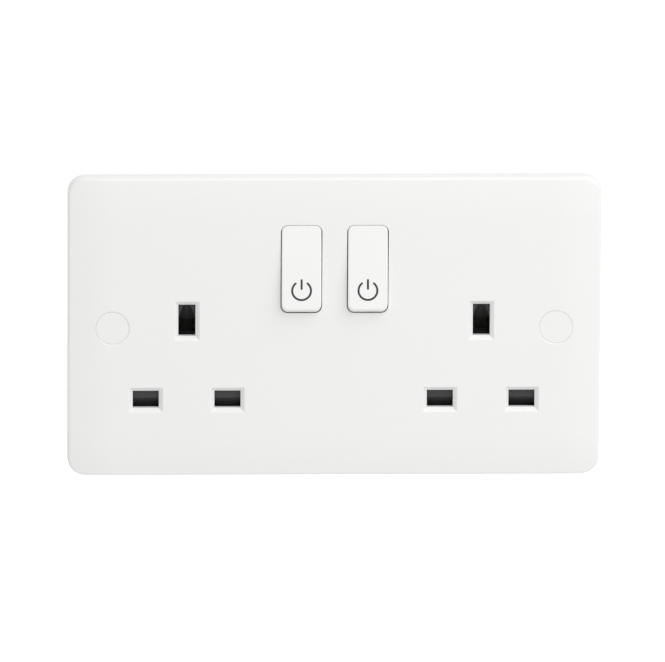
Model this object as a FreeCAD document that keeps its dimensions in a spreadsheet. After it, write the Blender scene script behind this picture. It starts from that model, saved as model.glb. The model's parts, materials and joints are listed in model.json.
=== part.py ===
import FreeCAD, Part
import functools
import math
import os
import re

import Sketcher
from FreeCAD import Rotation, Vector

# A white twin switched socket outlet for flat three-pin plugs.
# X runs to the right as one faces the plate and Z runs up. The wall is the plane Y = 0: the plate
# stands out of it towards -Y, and the base reaches into the wall box towards +Y. The origin is the
# middle of the plate, halfway between its two fixing screws. The switches are off.

# Driving dimensions, in millimetres and degrees
SIZES = {
    # Plate
    "plate_side_lap": 12.2,
    "plate_end_lap": 9.0,
    "plate_projection": 5.5,
    "plate_corner": 5.0,
    "plate_draft": 1.5,
    "crown_width": 12.0,
    "crown_drop": 1.1,
    "edge_round": 1.0,
    "front_wall": 2.5,
    "rim_wall": 2.2,
    "rib_wall": 1.2,
    "rib_set_back": 0.6,
    "rib_gap": 0.2,
    "stiffener_pitch": 22.5,
    # Fixing screws and their caps
    "fixing_clear": 1.3,
    "boss_radius": 6.0,
    "cap_radius": 4.5,
    "cap_gap": 0.1,
    "cap_sink": 0.12,
    "cap_thickness": 1.1,
    "cap_hole_break": 0.32,
    "cap_ring_wall": 0.7,
    "cap_ring_length": 0.5,
    "head_recess_radius": 3.6,
    "head_recess_depth": 1.3,
    "head_radius": 3.3,
    "head_dome": 0.45,
    "fixing_radius": 1.75,
    "neck_radius": 1.4,
    "thread_start": 0.4,
    "fixing_hole_gap": 0.25,
    "fixing_length": 25.0,
    "driver_slot_width": 1.0,
    "driver_slot_depth": 0.9,
    "screw_slot_width": 0.8,
    "screw_slot_depth": 0.7,
    # Pin slots, shutters and what guides them
    "socket_pitch": 80.0,
    "earth_height": 2.0,
    "pin_drop": 22.23,
    "pin_offset": 11.11,
    "earth_slot_width": 4.65,
    "earth_slot_height": 8.8,
    "line_slot_width": 7.1,
    "line_slot_height": 4.8,
    "slot_bevel": 1.1,
    "bevel_round": 0.2,
    "shutter_thickness": 4.0,
    "shutter_gap": 0.2,
    "shutter_lap": 0.6,
    "shutter_side_lap": 0.9,
    "shutter_stroke": 5.6,
    "shutter_cheek": 2.0,
    "shutter_window_play": 0.3,
    "shutter_ramp_depth": 2.2,
    "shutter_ramp_margin": 0.5,
    "shutter_head": 2.6,
    "shutter_entry": 0.5,
    "scoop_top": 0.45,
    "scoop_shoulder": 1.65,
    "scoop_shoulder_drop": 2.2,
    "scoop_foot_drop": 4.4,
    "spring_back": 0.8,
    "tray_play": 0.3,
    "tray_wall": 1.1,
    "tray_floor": 1.4,
    "tray_window_play": 0.25,
    "spring_room": 12.3,
    "spring_radius": 1.5,
    "spring_wire": 0.2,
    "spring_turns": 7.0,
    "spring_peg_radius": 1.1,
    "spring_peg_length": 1.6,
    # Rockers and what they work
    "rocker_pitch": 18.0,
    "rocker_height": 16.6,
    "rocker_width": 10.8,
    "rocker_reach": 12.9,
    "rocker_face": 5.8,
    "rocker_skirt": 1.5,
    "rocker_wall": 1.3,
    "rocker_corner": 1.7,
    "rocker_edge": 0.45,
    "rocker_tilt": 7.0,
    "rocker_gap": 0.24,
    "pivot_depth": 1.0,
    "pivot_radius": 1.25,
    "pivot_play": 0.05,
    "pivot_length": 1.2,
    "pivot_mouth": 2.2,
    "bearing_wall": 1.6,
    "bearing_half": 3.0,
    "bearing_depth": 1.1,
    "tube_radius": 2.7,
    "tube_end": 3.0,
    "plunger_radius": 1.8,
    "plunger_play": 0.08,
    "plunger_back": 0.4,
    "plunger_reach": 10.0,
    "plunger_nose": 1.0,
    "plunger_taper": 1.6,
    "plunger_clearance": 0.1,
    "plunger_spring_radius": 1.35,
    "plunger_spring_turns": 3.0,
    "arm_width": 4.6,
    "arm_thickness": 1.0,
    "arm_half": 10.0,
    "arm_tilt": 9.0,
    "arm_stand_off": 0.6,
    "fulcrum_radius": 1.0,
    "fulcrum_play": 0.05,
    "fulcrum_width": 5.0,
    "contact_radius": 1.5,
    "contact_rim": 0.4,
    "contact_dome": 0.4,
    "contact_reach": 8.4,
    "contact_gap": 0.25,
    "rivet_radius": 0.8,
    "rivet_play": 0.03,
    "rivet_head_radius": 1.2,
    "rivet_head": 0.3,
    # Brass strips, pin clips and terminals
    "strip": 0.7,
    "strip_width": 4.0,
    "clip_length": 6.0,
    "clip_base_half": 2.9,
    "clip_pinch": 1.75,
    "clip_pinch_depth": 7.0,
    "clip_mouth": 2.9,
    "clip_mouth_gap": 0.6,
    "earth_clip_length": 8.0,
    "neutral_step": 2.1,
    "earth_step": 2.3,
    "contact_end": 3.0,
    "live_bar_half": 2.5,
    "live_run_inset": 3.4,
    "terminal_pitch": 9.6,
    "terminal_width": 8.0,
    "terminal_length": 8.2,
    "terminal_front": 8.5,
    "wire_bore": 2.2,
    "wire_bore_depth": 11.2,
    "tab_depth": 1.6,
    "tab_play": 0.05,
    "terminal_screw_radius": 1.9,
    "terminal_screw_play": 0.03,
    "terminal_screw_clear": 0.3,
    "terminal_head_radius": 2.7,
    "terminal_head_height": 1.6,
    # Base
    "base_side_gap": 0.24,
    "base_headroom": 1.46,
    "base_footroom": 8.97,
    "base_wall": 1.8,
    "base_back_wall": 2.0,
    "base_corner": 2.0,
    "lug_notch_width": 7.5,
    "tray_notch_gap": 0.43,
    "access_play": 0.5,
    "wire_entry_play": 0.6,
    "post_size": 4.0,
    "post_reach": 20.0,
    "divider_gap": 0.3,
    "base_screw_low_width": 21.0,
    "base_screw_low_inset": 4.1,
    "base_screw_side_inset": 5.8,
    "base_screw_top_inset": 13.0,
    "base_screw_radius": 1.25,
    "base_screw_play": 0.05,
    "base_screw_hole_gap": 0.2,
    "base_back_bevel": 0.6,
    "base_screw_head": 2.4,
    "pillar_radius": 2.1,
    "pillar_end": 5.0,
    "base_tube_radius": 2.5,
}

# What follows from the driving dimensions
DERIVED = {
    "face": "-plate_projection",
    "inner_face": "front_wall - plate_projection",
    "half_width": "fixing_x + plate_side_lap",
    "half_height": "base_top + plate_end_lap",
    "crown_radius": "(crown_width ^ 2 + crown_drop ^ 2) / (2 * crown_drop)",
    "crown_sweep": "1.45 * crown_width",
    "fixing_x": "base_half + fixing_clear",
    "cap_seat": "face + cap_sink + cap_thickness",
    "head_top": "cap_seat + head_recess_depth",
    "socket_x": "socket_pitch / 2",
    "line_height": "earth_height - pin_drop",
    "shutter_front": "inner_face + shutter_gap",
    "shutter_floor_back": "shutter_front + shutter_thickness + shutter_gap + tray_floor",
    "spring_y": "-spring_back",
    "rocker_x": "rocker_pitch / 2",
    "pivot_y": "-pivot_depth",
    "window_half": "rocker_width / 2 + rocker_gap",
    "window_reach": "rocker_reach + rocker_gap",
    "fulcrum_y": "pivot_y + plunger_reach + plunger_nose + plunger_clearance + arm_thickness"
    " + arm_stand_off",
    "contact_ball": "(contact_radius ^ 2 + contact_dome ^ 2) / (2 * contact_dome)",
    "contact_rise": "contact_rim + contact_dome - arm_stand_off",
    "contact_y": "fulcrum_y + (contact_rise - contact_ball) * cos(arm_tilt)"
    " + contact_reach * sin(arm_tilt) + contact_ball + contact_gap",
    "contact_z": "rocker_height + contact_reach * cos(arm_tilt)",
    "live_level": "contact_y + contact_rim",
    "neutral_level": "live_level + neutral_step",
    "earth_level": "neutral_level + earth_step",
    "shutter_bar_half": "pin_offset + line_slot_width / 2 + shutter_side_lap",
    "shutter_rise": "line_slot_height / 2 + shutter_lap",
    "earth_entry": "earth_height + earth_slot_height / 2 + shutter_entry",
    "shutter_top": "earth_entry + shutter_head",
    "base_half": "socket_x + shutter_bar_half + tray_play + tray_wall + base_side_gap + base_wall",
    "base_top": "rocker_height + window_reach + base_headroom + base_wall",
    "base_bottom": "base_footroom + base_wall - line_height",
    "lug_notch_half": "-line_height - shutter_rise - shutter_stroke - tray_play - tray_wall"
    " - tray_notch_gap - base_wall",
    "notch_x": "base_half - lug_notch_width",
    "back_face": "earth_level + strip",
    "base_depth": "back_face + base_back_wall",
    "floor_height": "base_wall - base_bottom",
    "tab_end": "floor_height + terminal_length - tab_depth",
}

doc = FreeCAD.newDocument("TwinSocket")
sheet = doc.addObject("Spreadsheet::Sheet", "Sizes")
for row, (alias, number) in enumerate(SIZES.items(), start=1):
    sheet.set(f"A{row}", alias)
    sheet.set(f"B{row}", str(number))
    sheet.setAlias(f"B{row}", alias)
doc.recompute()

# Each plane's normal, as a sign along the axis that the plane lacks
NORMAL = {"XY": 1, "XZ": -1, "YZ": 1}


@functools.cache
def expand(text):
    """A size expression, written out in the sheet's own cells."""

    def cell(match):
        word = match.group()
        if word in DERIVED:
            return "(" + expand(DERIVED[word]) + ")"
        return "Sizes." + word if word in SIZES else word

    return re.sub(r"[a-z][a-z_]*", cell, str(text))


@functools.cache
def size(text):
    """The present value of a size expression."""
    return float(sheet.evalExpression(expand(text)))


def bind(thing, prop, text):
    thing.setExpression(prop, expand(text))


def new_body(name, x="0", y="0", z="0", tilt="0"):
    """A named piece whose own origin lies at x, y, z and which is tilted about the X axis."""
    body = doc.addObject("PartDesign::Body", name)
    body.Label = name
    body.Placement.Rotation = Rotation(Vector(1, 0, 0), size(tilt))
    for axis, text in (("x", x), ("y", y), ("z", z)):
        bind(body, "Placement.Base." + axis, text)
    return body


def new_sketch(body, name, plane, start="0"):
    sketch = body.newObject("Sketcher::SketchObject", name)
    support = next(o for o in body.Origin.OriginFeatures if o.Role == plane + "_Plane")
    sketch.AttachmentSupport = [(support, "")]
    sketch.MapMode = "FlatFace"
    bind(sketch, "AttachmentOffset.Base.z", f"{NORMAL[plane]} * ({start})")
    return sketch


def hold(sketch, geometry, point, across=None, up=None):
    """Fixes a sketch point by its distances from the sketch's origin."""
    for kind, text in (("DistanceX", across), ("DistanceY", up)):
        if text is not None:
            rule = Sketcher.Constraint(kind, -1, 1, geometry, point, size(text))
            bind(sketch, f"Constraints[{sketch.addConstraint(rule)}]", text)


def hold_radius(sketch, geometry, radius):
    rule = Sketcher.Constraint("Radius", geometry, size(radius))
    bind(sketch, f"Constraints[{sketch.addConstraint(rule)}]", radius)


def polygon(sketch, *points):
    """A closed outline of straight lines."""
    first = sketch.GeometryCount
    corners = [Vector(size(across), size(up), 0) for across, up in points]
    for here, there in zip(corners, corners[1:] + corners[:1]):
        sketch.addGeometry(Part.LineSegment(here, there), False)
    for n, (across, up) in enumerate(points):
        after = first + (n + 1) % len(points)
        sketch.addConstraint(Sketcher.Constraint("Coincident", first + n, 2, after, 1))
        hold(sketch, first + n, 1, across, up)


def box(sketch, left, right, low, high):
    polygon(sketch, (left, low), (right, low), (right, high), (left, high))


def middle_box(sketch, across, up, width, height):
    """A rectangle about its middle."""
    half, rise = f"({width}) / 2", f"({height}) / 2"
    box(
        sketch,
        f"{across} - {half}",
        f"{across} + {half}",
        f"{up} - {rise}",
        f"{up} + {rise}",
    )


def circle(sketch, across, up, radius):
    middle = Vector(size(across), size(up), 0)
    ring = sketch.addGeometry(Part.Circle(middle, Vector(0, 0, 1), size(radius)), False)
    hold(sketch, ring, 3, across, up)
    hold_radius(sketch, ring, radius)


def add_arc(sketch, middle, radius, start, end):
    """An arc from one angle to another, in radians and anticlockwise."""
    ring = Part.Circle(Vector(middle[0], middle[1], 0), Vector(0, 0, 1), radius)
    return sketch.addGeometry(Part.ArcOfCircle(ring, start, end), False)


def rounded_box(sketch, left, right, low, high, radius):
    """A rectangle with round corners: four lines, and an arc after each."""
    x0, x1, z0, z1, r = (size(text) for text in (left, right, low, high, radius))
    ends = [
        ((x0 + r, z0), (x1 - r, z0)),
        ((x1, z0 + r), (x1, z1 - r)),
        ((x1 - r, z1), (x0 + r, z1)),
        ((x0, z1 - r), (x0, z0 + r)),
    ]
    middles = [(x1 - r, z0 + r), (x1 - r, z1 - r), (x0 + r, z1 - r), (x0 + r, z0 + r)]
    lines, arcs = [], []
    for n, ((here, there), middle) in enumerate(zip(ends, middles)):
        line = Part.LineSegment(Vector(*here, 0), Vector(*there, 0))
        lines.append(sketch.addGeometry(line, False))
        arcs.append(add_arc(sketch, middle, r, (n - 1) * math.pi / 2, n * math.pi / 2))
    for n in range(4):
        after = lines[(n + 1) % 4]
        sketch.addConstraint(Sketcher.Constraint("Tangent", lines[n], 2, arcs[n], 1))
        sketch.addConstraint(Sketcher.Constraint("Tangent", arcs[n], 2, after, 1))
        level = "Horizontal" if n % 2 == 0 else "Vertical"
        sketch.addConstraint(Sketcher.Constraint(level, lines[n]))
    hold_radius(sketch, arcs[0], radius)
    for arc in arcs[1:]:
        sketch.addConstraint(Sketcher.Constraint("Equal", arcs[0], arc))
    hold(sketch, lines[0], 1, up=low)
    hold(sketch, lines[1], 1, across=right)
    hold(sketch, lines[2], 1, up=high)
    hold(sketch, lines[3], 1, across=left)


def sector(sketch, across, up, reach, front, back):
    """A slab from front to back whose two ends are arcs about one centre."""
    cy, cz, r = size(across), size(up), size(reach)
    at_front = math.acos((size(front) - cy) / r)
    at_back = math.acos((size(back) - cy) / r)
    upper = add_arc(sketch, (cy, cz), r, at_back, at_front)
    lower = add_arc(sketch, (cy, cz), r, -at_front, -at_back)
    rises = {}
    for name, angle in (("front", at_front), ("back", at_back)):
        y, rise = cy + r * math.cos(angle), r * math.sin(angle)
        line = Part.LineSegment(Vector(y, cz + rise, 0), Vector(y, cz - rise, 0))
        rises[name] = sketch.addGeometry(line, False)
        sketch.addConstraint(Sketcher.Constraint("Vertical", rises[name]))
    sketch.addConstraint(Sketcher.Constraint("Coincident", upper, 2, rises["front"], 1))
    sketch.addConstraint(Sketcher.Constraint("Coincident", rises["front"], 2, lower, 1))
    sketch.addConstraint(Sketcher.Constraint("Coincident", lower, 2, rises["back"], 2))
    sketch.addConstraint(Sketcher.Constraint("Coincident", rises["back"], 1, upper, 1))
    sketch.addConstraint(Sketcher.Constraint("Coincident", upper, 3, lower, 3))
    sketch.addConstraint(Sketcher.Constraint("Equal", upper, lower))
    hold(sketch, upper, 3, across, up)
    hold_radius(sketch, upper, reach)
    hold(sketch, rises["front"], 1, across=front)
    hold(sketch, rises["back"], 1, across=back)


volumes = {}


def settle(body, feature):
    """Recomputes, and stops where a feature failed or changed nothing."""
    doc.recompute()
    if "Invalid" in feature.State or "Error" in feature.State or feature.Shape.isNull():
        raise RuntimeError(f"{body.Label}: {feature.Label} failed")
    volume = feature.Shape.Volume
    if abs(volume - volumes.get(body.Name, 0.0)) < 1e-6:
        raise RuntimeError(f"{body.Label}: {feature.Label} changes nothing")
    volumes[body.Name] = volume
    return feature


def extrude(body, name, plane, start, end, *outlines, cut=False):
    """Pads or pockets outlines along the axis that the plane lacks, from start to end."""
    sketch = new_sketch(body, name + "Sketch", plane, start)
    for draw, *values in outlines:
        draw(sketch, *values)
    feature = body.newObject("PartDesign::Pocket" if cut else "PartDesign::Pad", name)
    feature.Profile = sketch
    bind(feature, "Length", f"({end}) - ({start})")
    # a pad follows its sketch's normal, and a pocket goes against it
    feature.Reversed = (NORMAL[plane] > 0) if cut else (NORMAL[plane] < 0)
    return settle(body, feature)


def turn(body, name, plane, start, points, axis_at="0", cut=False):
    """Revolves a profile about the upright line at axis_at in its sketch."""
    sketch = new_sketch(body, name + "Sketch", plane, start)
    for draw, *values in points:
        draw(sketch, *values)
    x = size(axis_at)
    line = sketch.addGeometry(Part.LineSegment(Vector(x, -1, 0), Vector(x, 1, 0)), True)
    hold(sketch, line, 1, axis_at, "-1")
    hold(sketch, line, 2, axis_at, "1")
    kind = "PartDesign::Groove" if cut else "PartDesign::Revolution"
    feature = body.newObject(kind, name)
    feature.Profile = sketch
    feature.ReferenceAxis = (sketch, ["Axis0"])
    feature.Angle = 360
    return settle(body, feature)


def mirror(body, name, originals, plane="YZ"):
    feature = body.newObject("PartDesign::Mirrored", name)
    feature.Originals = originals
    support = next(o for o in body.Origin.OriginFeatures if o.Role == plane + "_Plane")
    feature.MirrorPlane = (support, [""])
    body.Tip = feature
    return settle(body, feature)


def soften(body, name, kind, amount, test):
    """Rounds or bevels the edges that pass the test."""
    base = body.Tip
    chosen = [f"Edge{n}" for n, edge in enumerate(base.Shape.Edges, start=1) if test(edge)]
    if not chosen:
        raise RuntimeError(f"{body.Label}: {name} finds no edge")
    feature = body.newObject("PartDesign::" + kind, name)
    feature.Base = (base, chosen)
    bind(feature, "Radius" if kind == "Fillet" else "Size", amount)
    return settle(body, feature)


def near(a, b, slack=0.01):
    return abs(a - b) < slack


def flat_at(edge, axis, text):
    """Does the whole edge lie in the plane where this axis has this value?"""
    low = getattr(edge.BoundBox, axis + "Min")
    high = getattr(edge.BoundBox, axis + "Max")
    return near(low, size(text)) and near(high, size(text))


def within(edge, left, right, low, high):
    """Does the edge lie inside a rectangle, seen from the front?"""
    bounds = edge.BoundBox
    return (
        bounds.XMin > size(left) - 0.01
        and bounds.XMax < size(right) + 0.01
        and bounds.ZMin > size(low) - 0.01
        and bounds.ZMax < size(high) + 0.01
    )


def round_ends(body, name, reach, radius):
    """Rounds the curved edges at the ends of a sector."""

    def curved(edge):
        try:
            return near(edge.Curve.Radius, size(reach))
        except (AttributeError, TypeError):
            return False

    soften(body, name, "Fillet", radius, curved)


def base_outline(sketch, grow):
    """The base seen from the front, grown all round. Its sides step in to pass the box's lugs."""
    wide = f"base_half + ({grow})"
    step = f"notch_x + ({grow})"
    rise = f"lug_notch_half - ({grow})"
    top = f"base_top + ({grow})"
    low = f"-base_bottom - ({grow})"
    polygon(
        sketch,
        (f"-({wide})", low),
        (wide, low),
        (wide, f"-({rise})"),
        (step, f"-({rise})"),
        (step, rise),
        (wide, rise),
        (wide, top),
        (f"-({wide})", top),
        (f"-({wide})", rise),
        (f"-({step})", rise),
        (f"-({step})", f"-({rise})"),
        (f"-({wide})", f"-({rise})"),
    )


def slots():
    """The middle and size of each pin slot, seen from the front."""
    for side in (-1, 1):
        middle = f"{side} * socket_x"
        yield middle, "earth_height", "earth_slot_width", "earth_slot_height"
        for hand in (-1, 1):
            across = f"{middle} + {hand} * pin_offset"
            yield across, "line_height", "line_slot_width", "line_slot_height"


def base_screw_places():
    for side in (-1, 1):
        yield f"{side} * base_screw_low_width", "base_screw_low_inset - base_bottom"
        across = f"{side} * (base_half - base_screw_side_inset)"
        yield across, "base_top - base_screw_top_inset"


def make_front_plate():
    """The moulding that shows: a crowned plate with a rim, hollow behind, with its ribs and bosses."""
    plate = new_body("front_plate")
    rim = ("-half_width", "half_width", "-half_height", "half_height")
    block(plate, rim)
    crown(plate)
    soften(
        plate,
        "EdgeRound",
        "Fillet",
        "edge_round",
        lambda e: e.BoundBox.YMin > size("face") + 0.5 and e.BoundBox.YMax < size("face / 2"),
    )
    inside = [f"{edge} {'+' if edge[0] == '-' else '-'} rim_wall" for edge in rim]
    hollow = (rounded_box, *inside, "plate_corner - rim_wall")
    extrude(plate, "Hollow", "XZ", "inner_face", "0", hollow, cut=True)
    fixing_bosses(plate)
    pin_slots(plate)
    rocker_windows(plate)
    base_ribs(plate)
    rocker_bearings(plate)
    screw_pillars(plate)
    return plate


def block(plate, rim):
    """The plate's outline, leaning in from the wall to the front."""
    sketch = new_sketch(plate, "BlockSketch", "XZ", "0")
    rounded_box(sketch, *rim, "plate_corner")
    pad = plate.newObject("PartDesign::Pad", "Block")
    pad.Profile = sketch
    bind(pad, "Length", "plate_projection")
    bind(pad, "TaperAngle", "-plate_draft")
    settle(plate, pad)


def crown(plate):
    """Takes the front down in a shallow arc towards all four sides, and round the corners."""
    across, up = "half_width - crown_width", "half_height - crown_width"
    path = new_sketch(plate, "CrownPath", "XZ", "face")
    polygon(
        path,
        ("0", up),
        (across, up),
        (across, f"-({up})"),
        (f"-({across})", f"-({up})"),
        (f"-({across})", up),
    )
    profile = new_sketch(plate, "CrownProfile", "YZ")
    radius, sweep = size("crown_radius"), size("crown_sweep")
    middle = (size("face") + radius, size(up))
    arc = add_arc(profile, middle, radius, math.pi - math.asin(sweep / radius), math.pi)
    low = Vector(middle[0] - radius, middle[1], 0)
    high = Vector(middle[0] - math.sqrt(radius**2 - sweep**2), middle[1] + sweep, 0)
    outer = size("face - crown_drop")
    corners = [high, Vector(outer, high.y, 0), Vector(outer, low.y, 0), low]
    lines = [Part.LineSegment(a, b) for a, b in zip(corners, corners[1:])]
    lines = [profile.addGeometry(line, False) for line in lines]
    chain = [(arc, 1), (lines[0], 1), (lines[0], 2), (lines[1], 1)]
    chain += [(lines[1], 2), (lines[2], 1), (lines[2], 2), (arc, 2)]
    for one, other in zip(chain[::2], chain[1::2]):
        profile.addConstraint(Sketcher.Constraint("Coincident", *one, *other))
    for line, level in zip(lines, ("Horizontal", "Vertical", "Horizontal")):
        profile.addConstraint(Sketcher.Constraint(level, line))
    hold(profile, arc, 3, "face + crown_radius", up)
    hold(profile, lines[2], 2, across="face")
    hold(profile, lines[0], 1, up=f"{up} + crown_sweep")
    hold(profile, lines[1], 1, across="face - crown_drop")
    pipe = plate.newObject("PartDesign::SubtractivePipe", "Crown")
    pipe.Profile = profile
    pipe.Spine = (path, [f"Edge{n}" for n in range(1, 6)])
    pipe.Transition = "Round corner"
    settle(plate, pipe)


def fixing_bosses(plate):
    """A boss round each fixing screw, with its cap's seat, head recess, countersink and hole."""
    bosses = [(circle, f"{side} * fixing_x", "0", "boss_radius") for side in (-1, 1)]
    extrude(plate, "FixingBosses", "XZ", "inner_face - 0.1", "0", *bosses)
    hole = "fixing_radius + fixing_hole_gap"
    profile = [
        ("0", "face - 1"),
        ("cap_radius + cap_hole_break + 1", "face - 1"),
        ("cap_radius", "face + cap_hole_break"),
        ("cap_radius", "cap_seat"),
        ("head_recess_radius", "cap_seat"),
        ("head_recess_radius", "head_top"),
        (f"{hole}", f"head_top + head_recess_radius - ({hole})"),
        (f"{hole}", "1"),
        ("0", "1"),
    ]
    placed = [(f"fixing_x + {across}", up) for across, up in profile]
    groove = turn(
        plate, "FixingHole", "XY", "0", [(polygon, *placed)], axis_at="fixing_x", cut=True
    )
    mirror(plate, "FixingHoles", [groove])


def pin_slots(plate):
    outlines = [(middle_box, *slot) for slot in slots()]
    extrude(plate, "PinSlots", "XZ", "face - 1", "inner_face + 0.5", *outlines, cut=True)
    places = list(slots())

    def on_a_slot(edge, grow="0"):
        if not flat_at(edge, "Y", "face"):
            return False
        return any(
            within(
                edge,
                f"{x} - {w} / 2 - {grow}",
                f"{x} + {w} / 2 + {grow}",
                f"{z} - {tall} / 2 - {grow}",
                f"{z} + {tall} / 2 + {grow}",
            )
            for x, z, w, tall in places
        )

    soften(plate, "SlotBevels", "Chamfer", "slot_bevel", on_a_slot)
    soften(
        plate, "BevelRounds", "Fillet", "bevel_round", lambda e: on_a_slot(e, "slot_bevel")
    )


def rocker_windows(plate):
    """An opening for each rocker, with ends that are arcs about the rocker's pivot."""
    for side in (-1, 1):
        name = "Left" if side < 0 else "Right"
        middle = f"{side} * rocker_x"
        outline = (sector, "pivot_y", "rocker_height", "window_reach", "face - 1", "inner_face")
        extrude(
            plate,
            "Window" + name,
            "YZ",
            f"{middle} - window_half",
            f"{middle} + window_half",
            outline,
            cut=True,
        )
    round_ends(plate, "WindowCorners", "window_reach", "rocker_corner + rocker_gap")


def base_ribs(plate):
    """A rib round the base, and stiffeners from it to the rim."""
    level = ("inner_face - 0.1", "-rib_set_back")
    outer, inner = "rib_gap + rib_wall", "rib_gap"
    extrude(plate, "BaseRib", "XZ", *level, (base_outline, outer), (base_outline, inner))
    bars = []
    for side in (-1, 1):
        near_z = f"base_top + {outer} - 0.3" if side > 0 else f"base_bottom + {outer} - 0.3"
        far_z = "half_height - rim_wall + 0.5"
        low, high = (near_z, far_z) if side > 0 else (f"-({far_z})", f"-({near_z})")
        for n in range(-2, 3):
            across = f"{n} * stiffener_pitch"
            bars.append((box, f"{across} - rib_wall / 2", f"{across} + rib_wall / 2", low, high))
        near_x, far_x = f"base_half + {outer} - 0.3", "half_width - rim_wall + 0.5"
        left, right = (near_x, far_x) if side > 0 else (f"-({far_x})", f"-({near_x})")
        for n in (-1, 1):
            up = f"{n} * stiffener_pitch"
            bars.append((box, left, right, f"{up} - rib_wall / 2", f"{up} + rib_wall / 2"))
    extrude(plate, "Stiffeners", "XZ", *level, *bars)


def rocker_bearings(plate):
    """Walls between and beside the windows, each with a snap-in notch for the rockers' pegs."""
    walls = [("window_half - rocker_x", "rocker_x - window_half")]
    outer = "rocker_x + window_half"
    walls.append((outer, f"{outer} + bearing_wall"))
    walls.append((f"-({outer}) - bearing_wall", f"-({outer})"))
    low, high = "rocker_height - bearing_half", "rocker_height + bearing_half"
    outlines = [(box, left, right, low, high) for left, right in walls]
    extrude(plate, "Bearings", "XZ", "inner_face - 0.1", "bearing_depth", *outlines)
    reach = f"{outer} + bearing_wall + 1"
    seat = (circle, "pivot_y", "rocker_height", "pivot_radius + pivot_play")
    extrude(plate, "BearingSeats", "YZ", f"-({reach})", reach, seat, cut=True)
    half = "pivot_mouth / 2"
    mouth = (box, "pivot_y", "bearing_depth + 1", f"rocker_height - {half}", f"rocker_height + {half}")
    extrude(plate, "BearingMouths", "YZ", f"-({reach})", reach, mouth, cut=True)


def screw_pillars(plate):
    """Pillars behind the plate that take the screws of the base."""
    pillars = [(circle, *place, "pillar_radius") for place in base_screw_places()]
    extrude(plate, "Pillars", "XZ", "inner_face - 0.1", "pillar_end", *pillars)
    pilot = "base_screw_radius + base_screw_play"
    pilots = [(circle, *place, pilot) for place in base_screw_places()]
    extrude(plate, "Pilots", "XZ", "inner_face + 0.4", "pillar_end + 1", *pilots, cut=True)


def make_screw_cap(name, side):
    cap = new_body(name, f"{side} * fixing_x", "cap_seat", "0")
    ring = "head_recess_radius - cap_gap"
    profile = [
        ("0", "-cap_thickness"),
        ("cap_radius - cap_gap", "-cap_thickness"),
        ("cap_radius - cap_gap", "0"),
        (ring, "0"),
        (ring, "cap_ring_length"),
        (f"{ring} - cap_ring_wall", "cap_ring_length"),
        (f"{ring} - cap_ring_wall", "0"),
        ("0", "0"),
    ]
    turn(cap, "Cap", "XY", "0", [(polygon, *profile)])
    soften(cap, "CapEdge", "Fillet", "cap_gap", lambda e: flat_at(e, "Y", "-cap_thickness"))
    return cap


def make_fixing_screw(name, side):
    """A countersunk screw with a domed top, a driver slot and a neck that keeps it in the plate."""
    screw = new_body(name, f"{side} * fixing_x", "head_top", "0")
    seat = "fixing_hole_gap"
    thread = "thread_start - head_top"
    profile = [
        ("0", f"{seat} - head_dome"),
        ("head_radius * 0.6", f"{seat} - head_dome * 0.75"),
        ("head_radius", seat),
        ("neck_radius", f"{seat} + head_radius - neck_radius"),
        ("neck_radius", f"{thread} - (fixing_radius - neck_radius)"),
        ("fixing_radius", thread),
        ("fixing_radius", "fixing_length - 1"),
        ("fixing_radius - 0.6", "fixing_length"),
        ("0", "fixing_length"),
    ]
    turn(screw, "Screw", "XY", "0", [(polygon, *profile)])
    slot = (middle_box, "0", "0", "2 * head_radius + 1", "driver_slot_width")
    start = f"{seat} - head_dome - 1"
    extrude(
        screw, "DriverSlot", "XZ", start, f"{start} + 1 + driver_slot_depth", slot, cut=True
    )
    return screw


def make_rocker(name, side):
    """A hollow rocker with pegs at its sides and a tube for its plunger, about its own pivot."""
    rocker = new_body(name, f"{side} * rocker_x", "pivot_y", "rocker_height", "-rocker_tilt")
    half = "rocker_width / 2"
    shell = (sector, "0", "0", "rocker_reach", "-rocker_face", "rocker_skirt")
    extrude(rocker, "Shell", "YZ", f"-{half}", half, shell)
    round_ends(rocker, "Corners", "rocker_reach", "rocker_corner")
    soften(rocker, "FaceEdge", "Fillet", "rocker_edge", lambda e: flat_at(e, "Y", "-rocker_face"))
    inner = f"{half} - rocker_wall"
    rise = "sqrt((rocker_reach - rocker_wall) ^ 2 - (rocker_face - rocker_wall) ^ 2)"
    hollow = (rounded_box, f"-({inner})", inner, f"-({rise})", rise, "rocker_corner / 2")
    floor = "rocker_wall - rocker_face"
    extrude(rocker, "Hollow", "XZ", floor, "rocker_skirt + 1", hollow, cut=True)
    cross = (middle_box, "0", "0", f"2 * ({inner}) + 1", "rocker_wall")
    extrude(rocker, "CrossRib", "XZ", f"{floor} - 0.1", "0", cross)
    extrude(rocker, "Tube", "XZ", f"{floor} - 0.1", "tube_end", (circle, "0", "0", "tube_radius"))
    bore = (circle, "0", "0", "plunger_radius + plunger_play")
    extrude(rocker, "Bore", "XZ", floor, "tube_end + 1", bore, cut=True)
    peg = (circle, "0", "0", "pivot_radius")
    start, end = f"{half} - 0.1", f"{half} + pivot_length"
    extrude(rocker, "RightPeg", "YZ", start, end, peg)
    extrude(rocker, "LeftPeg", "YZ", f"-({end})", f"-({start})", peg)
    return rocker


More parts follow.
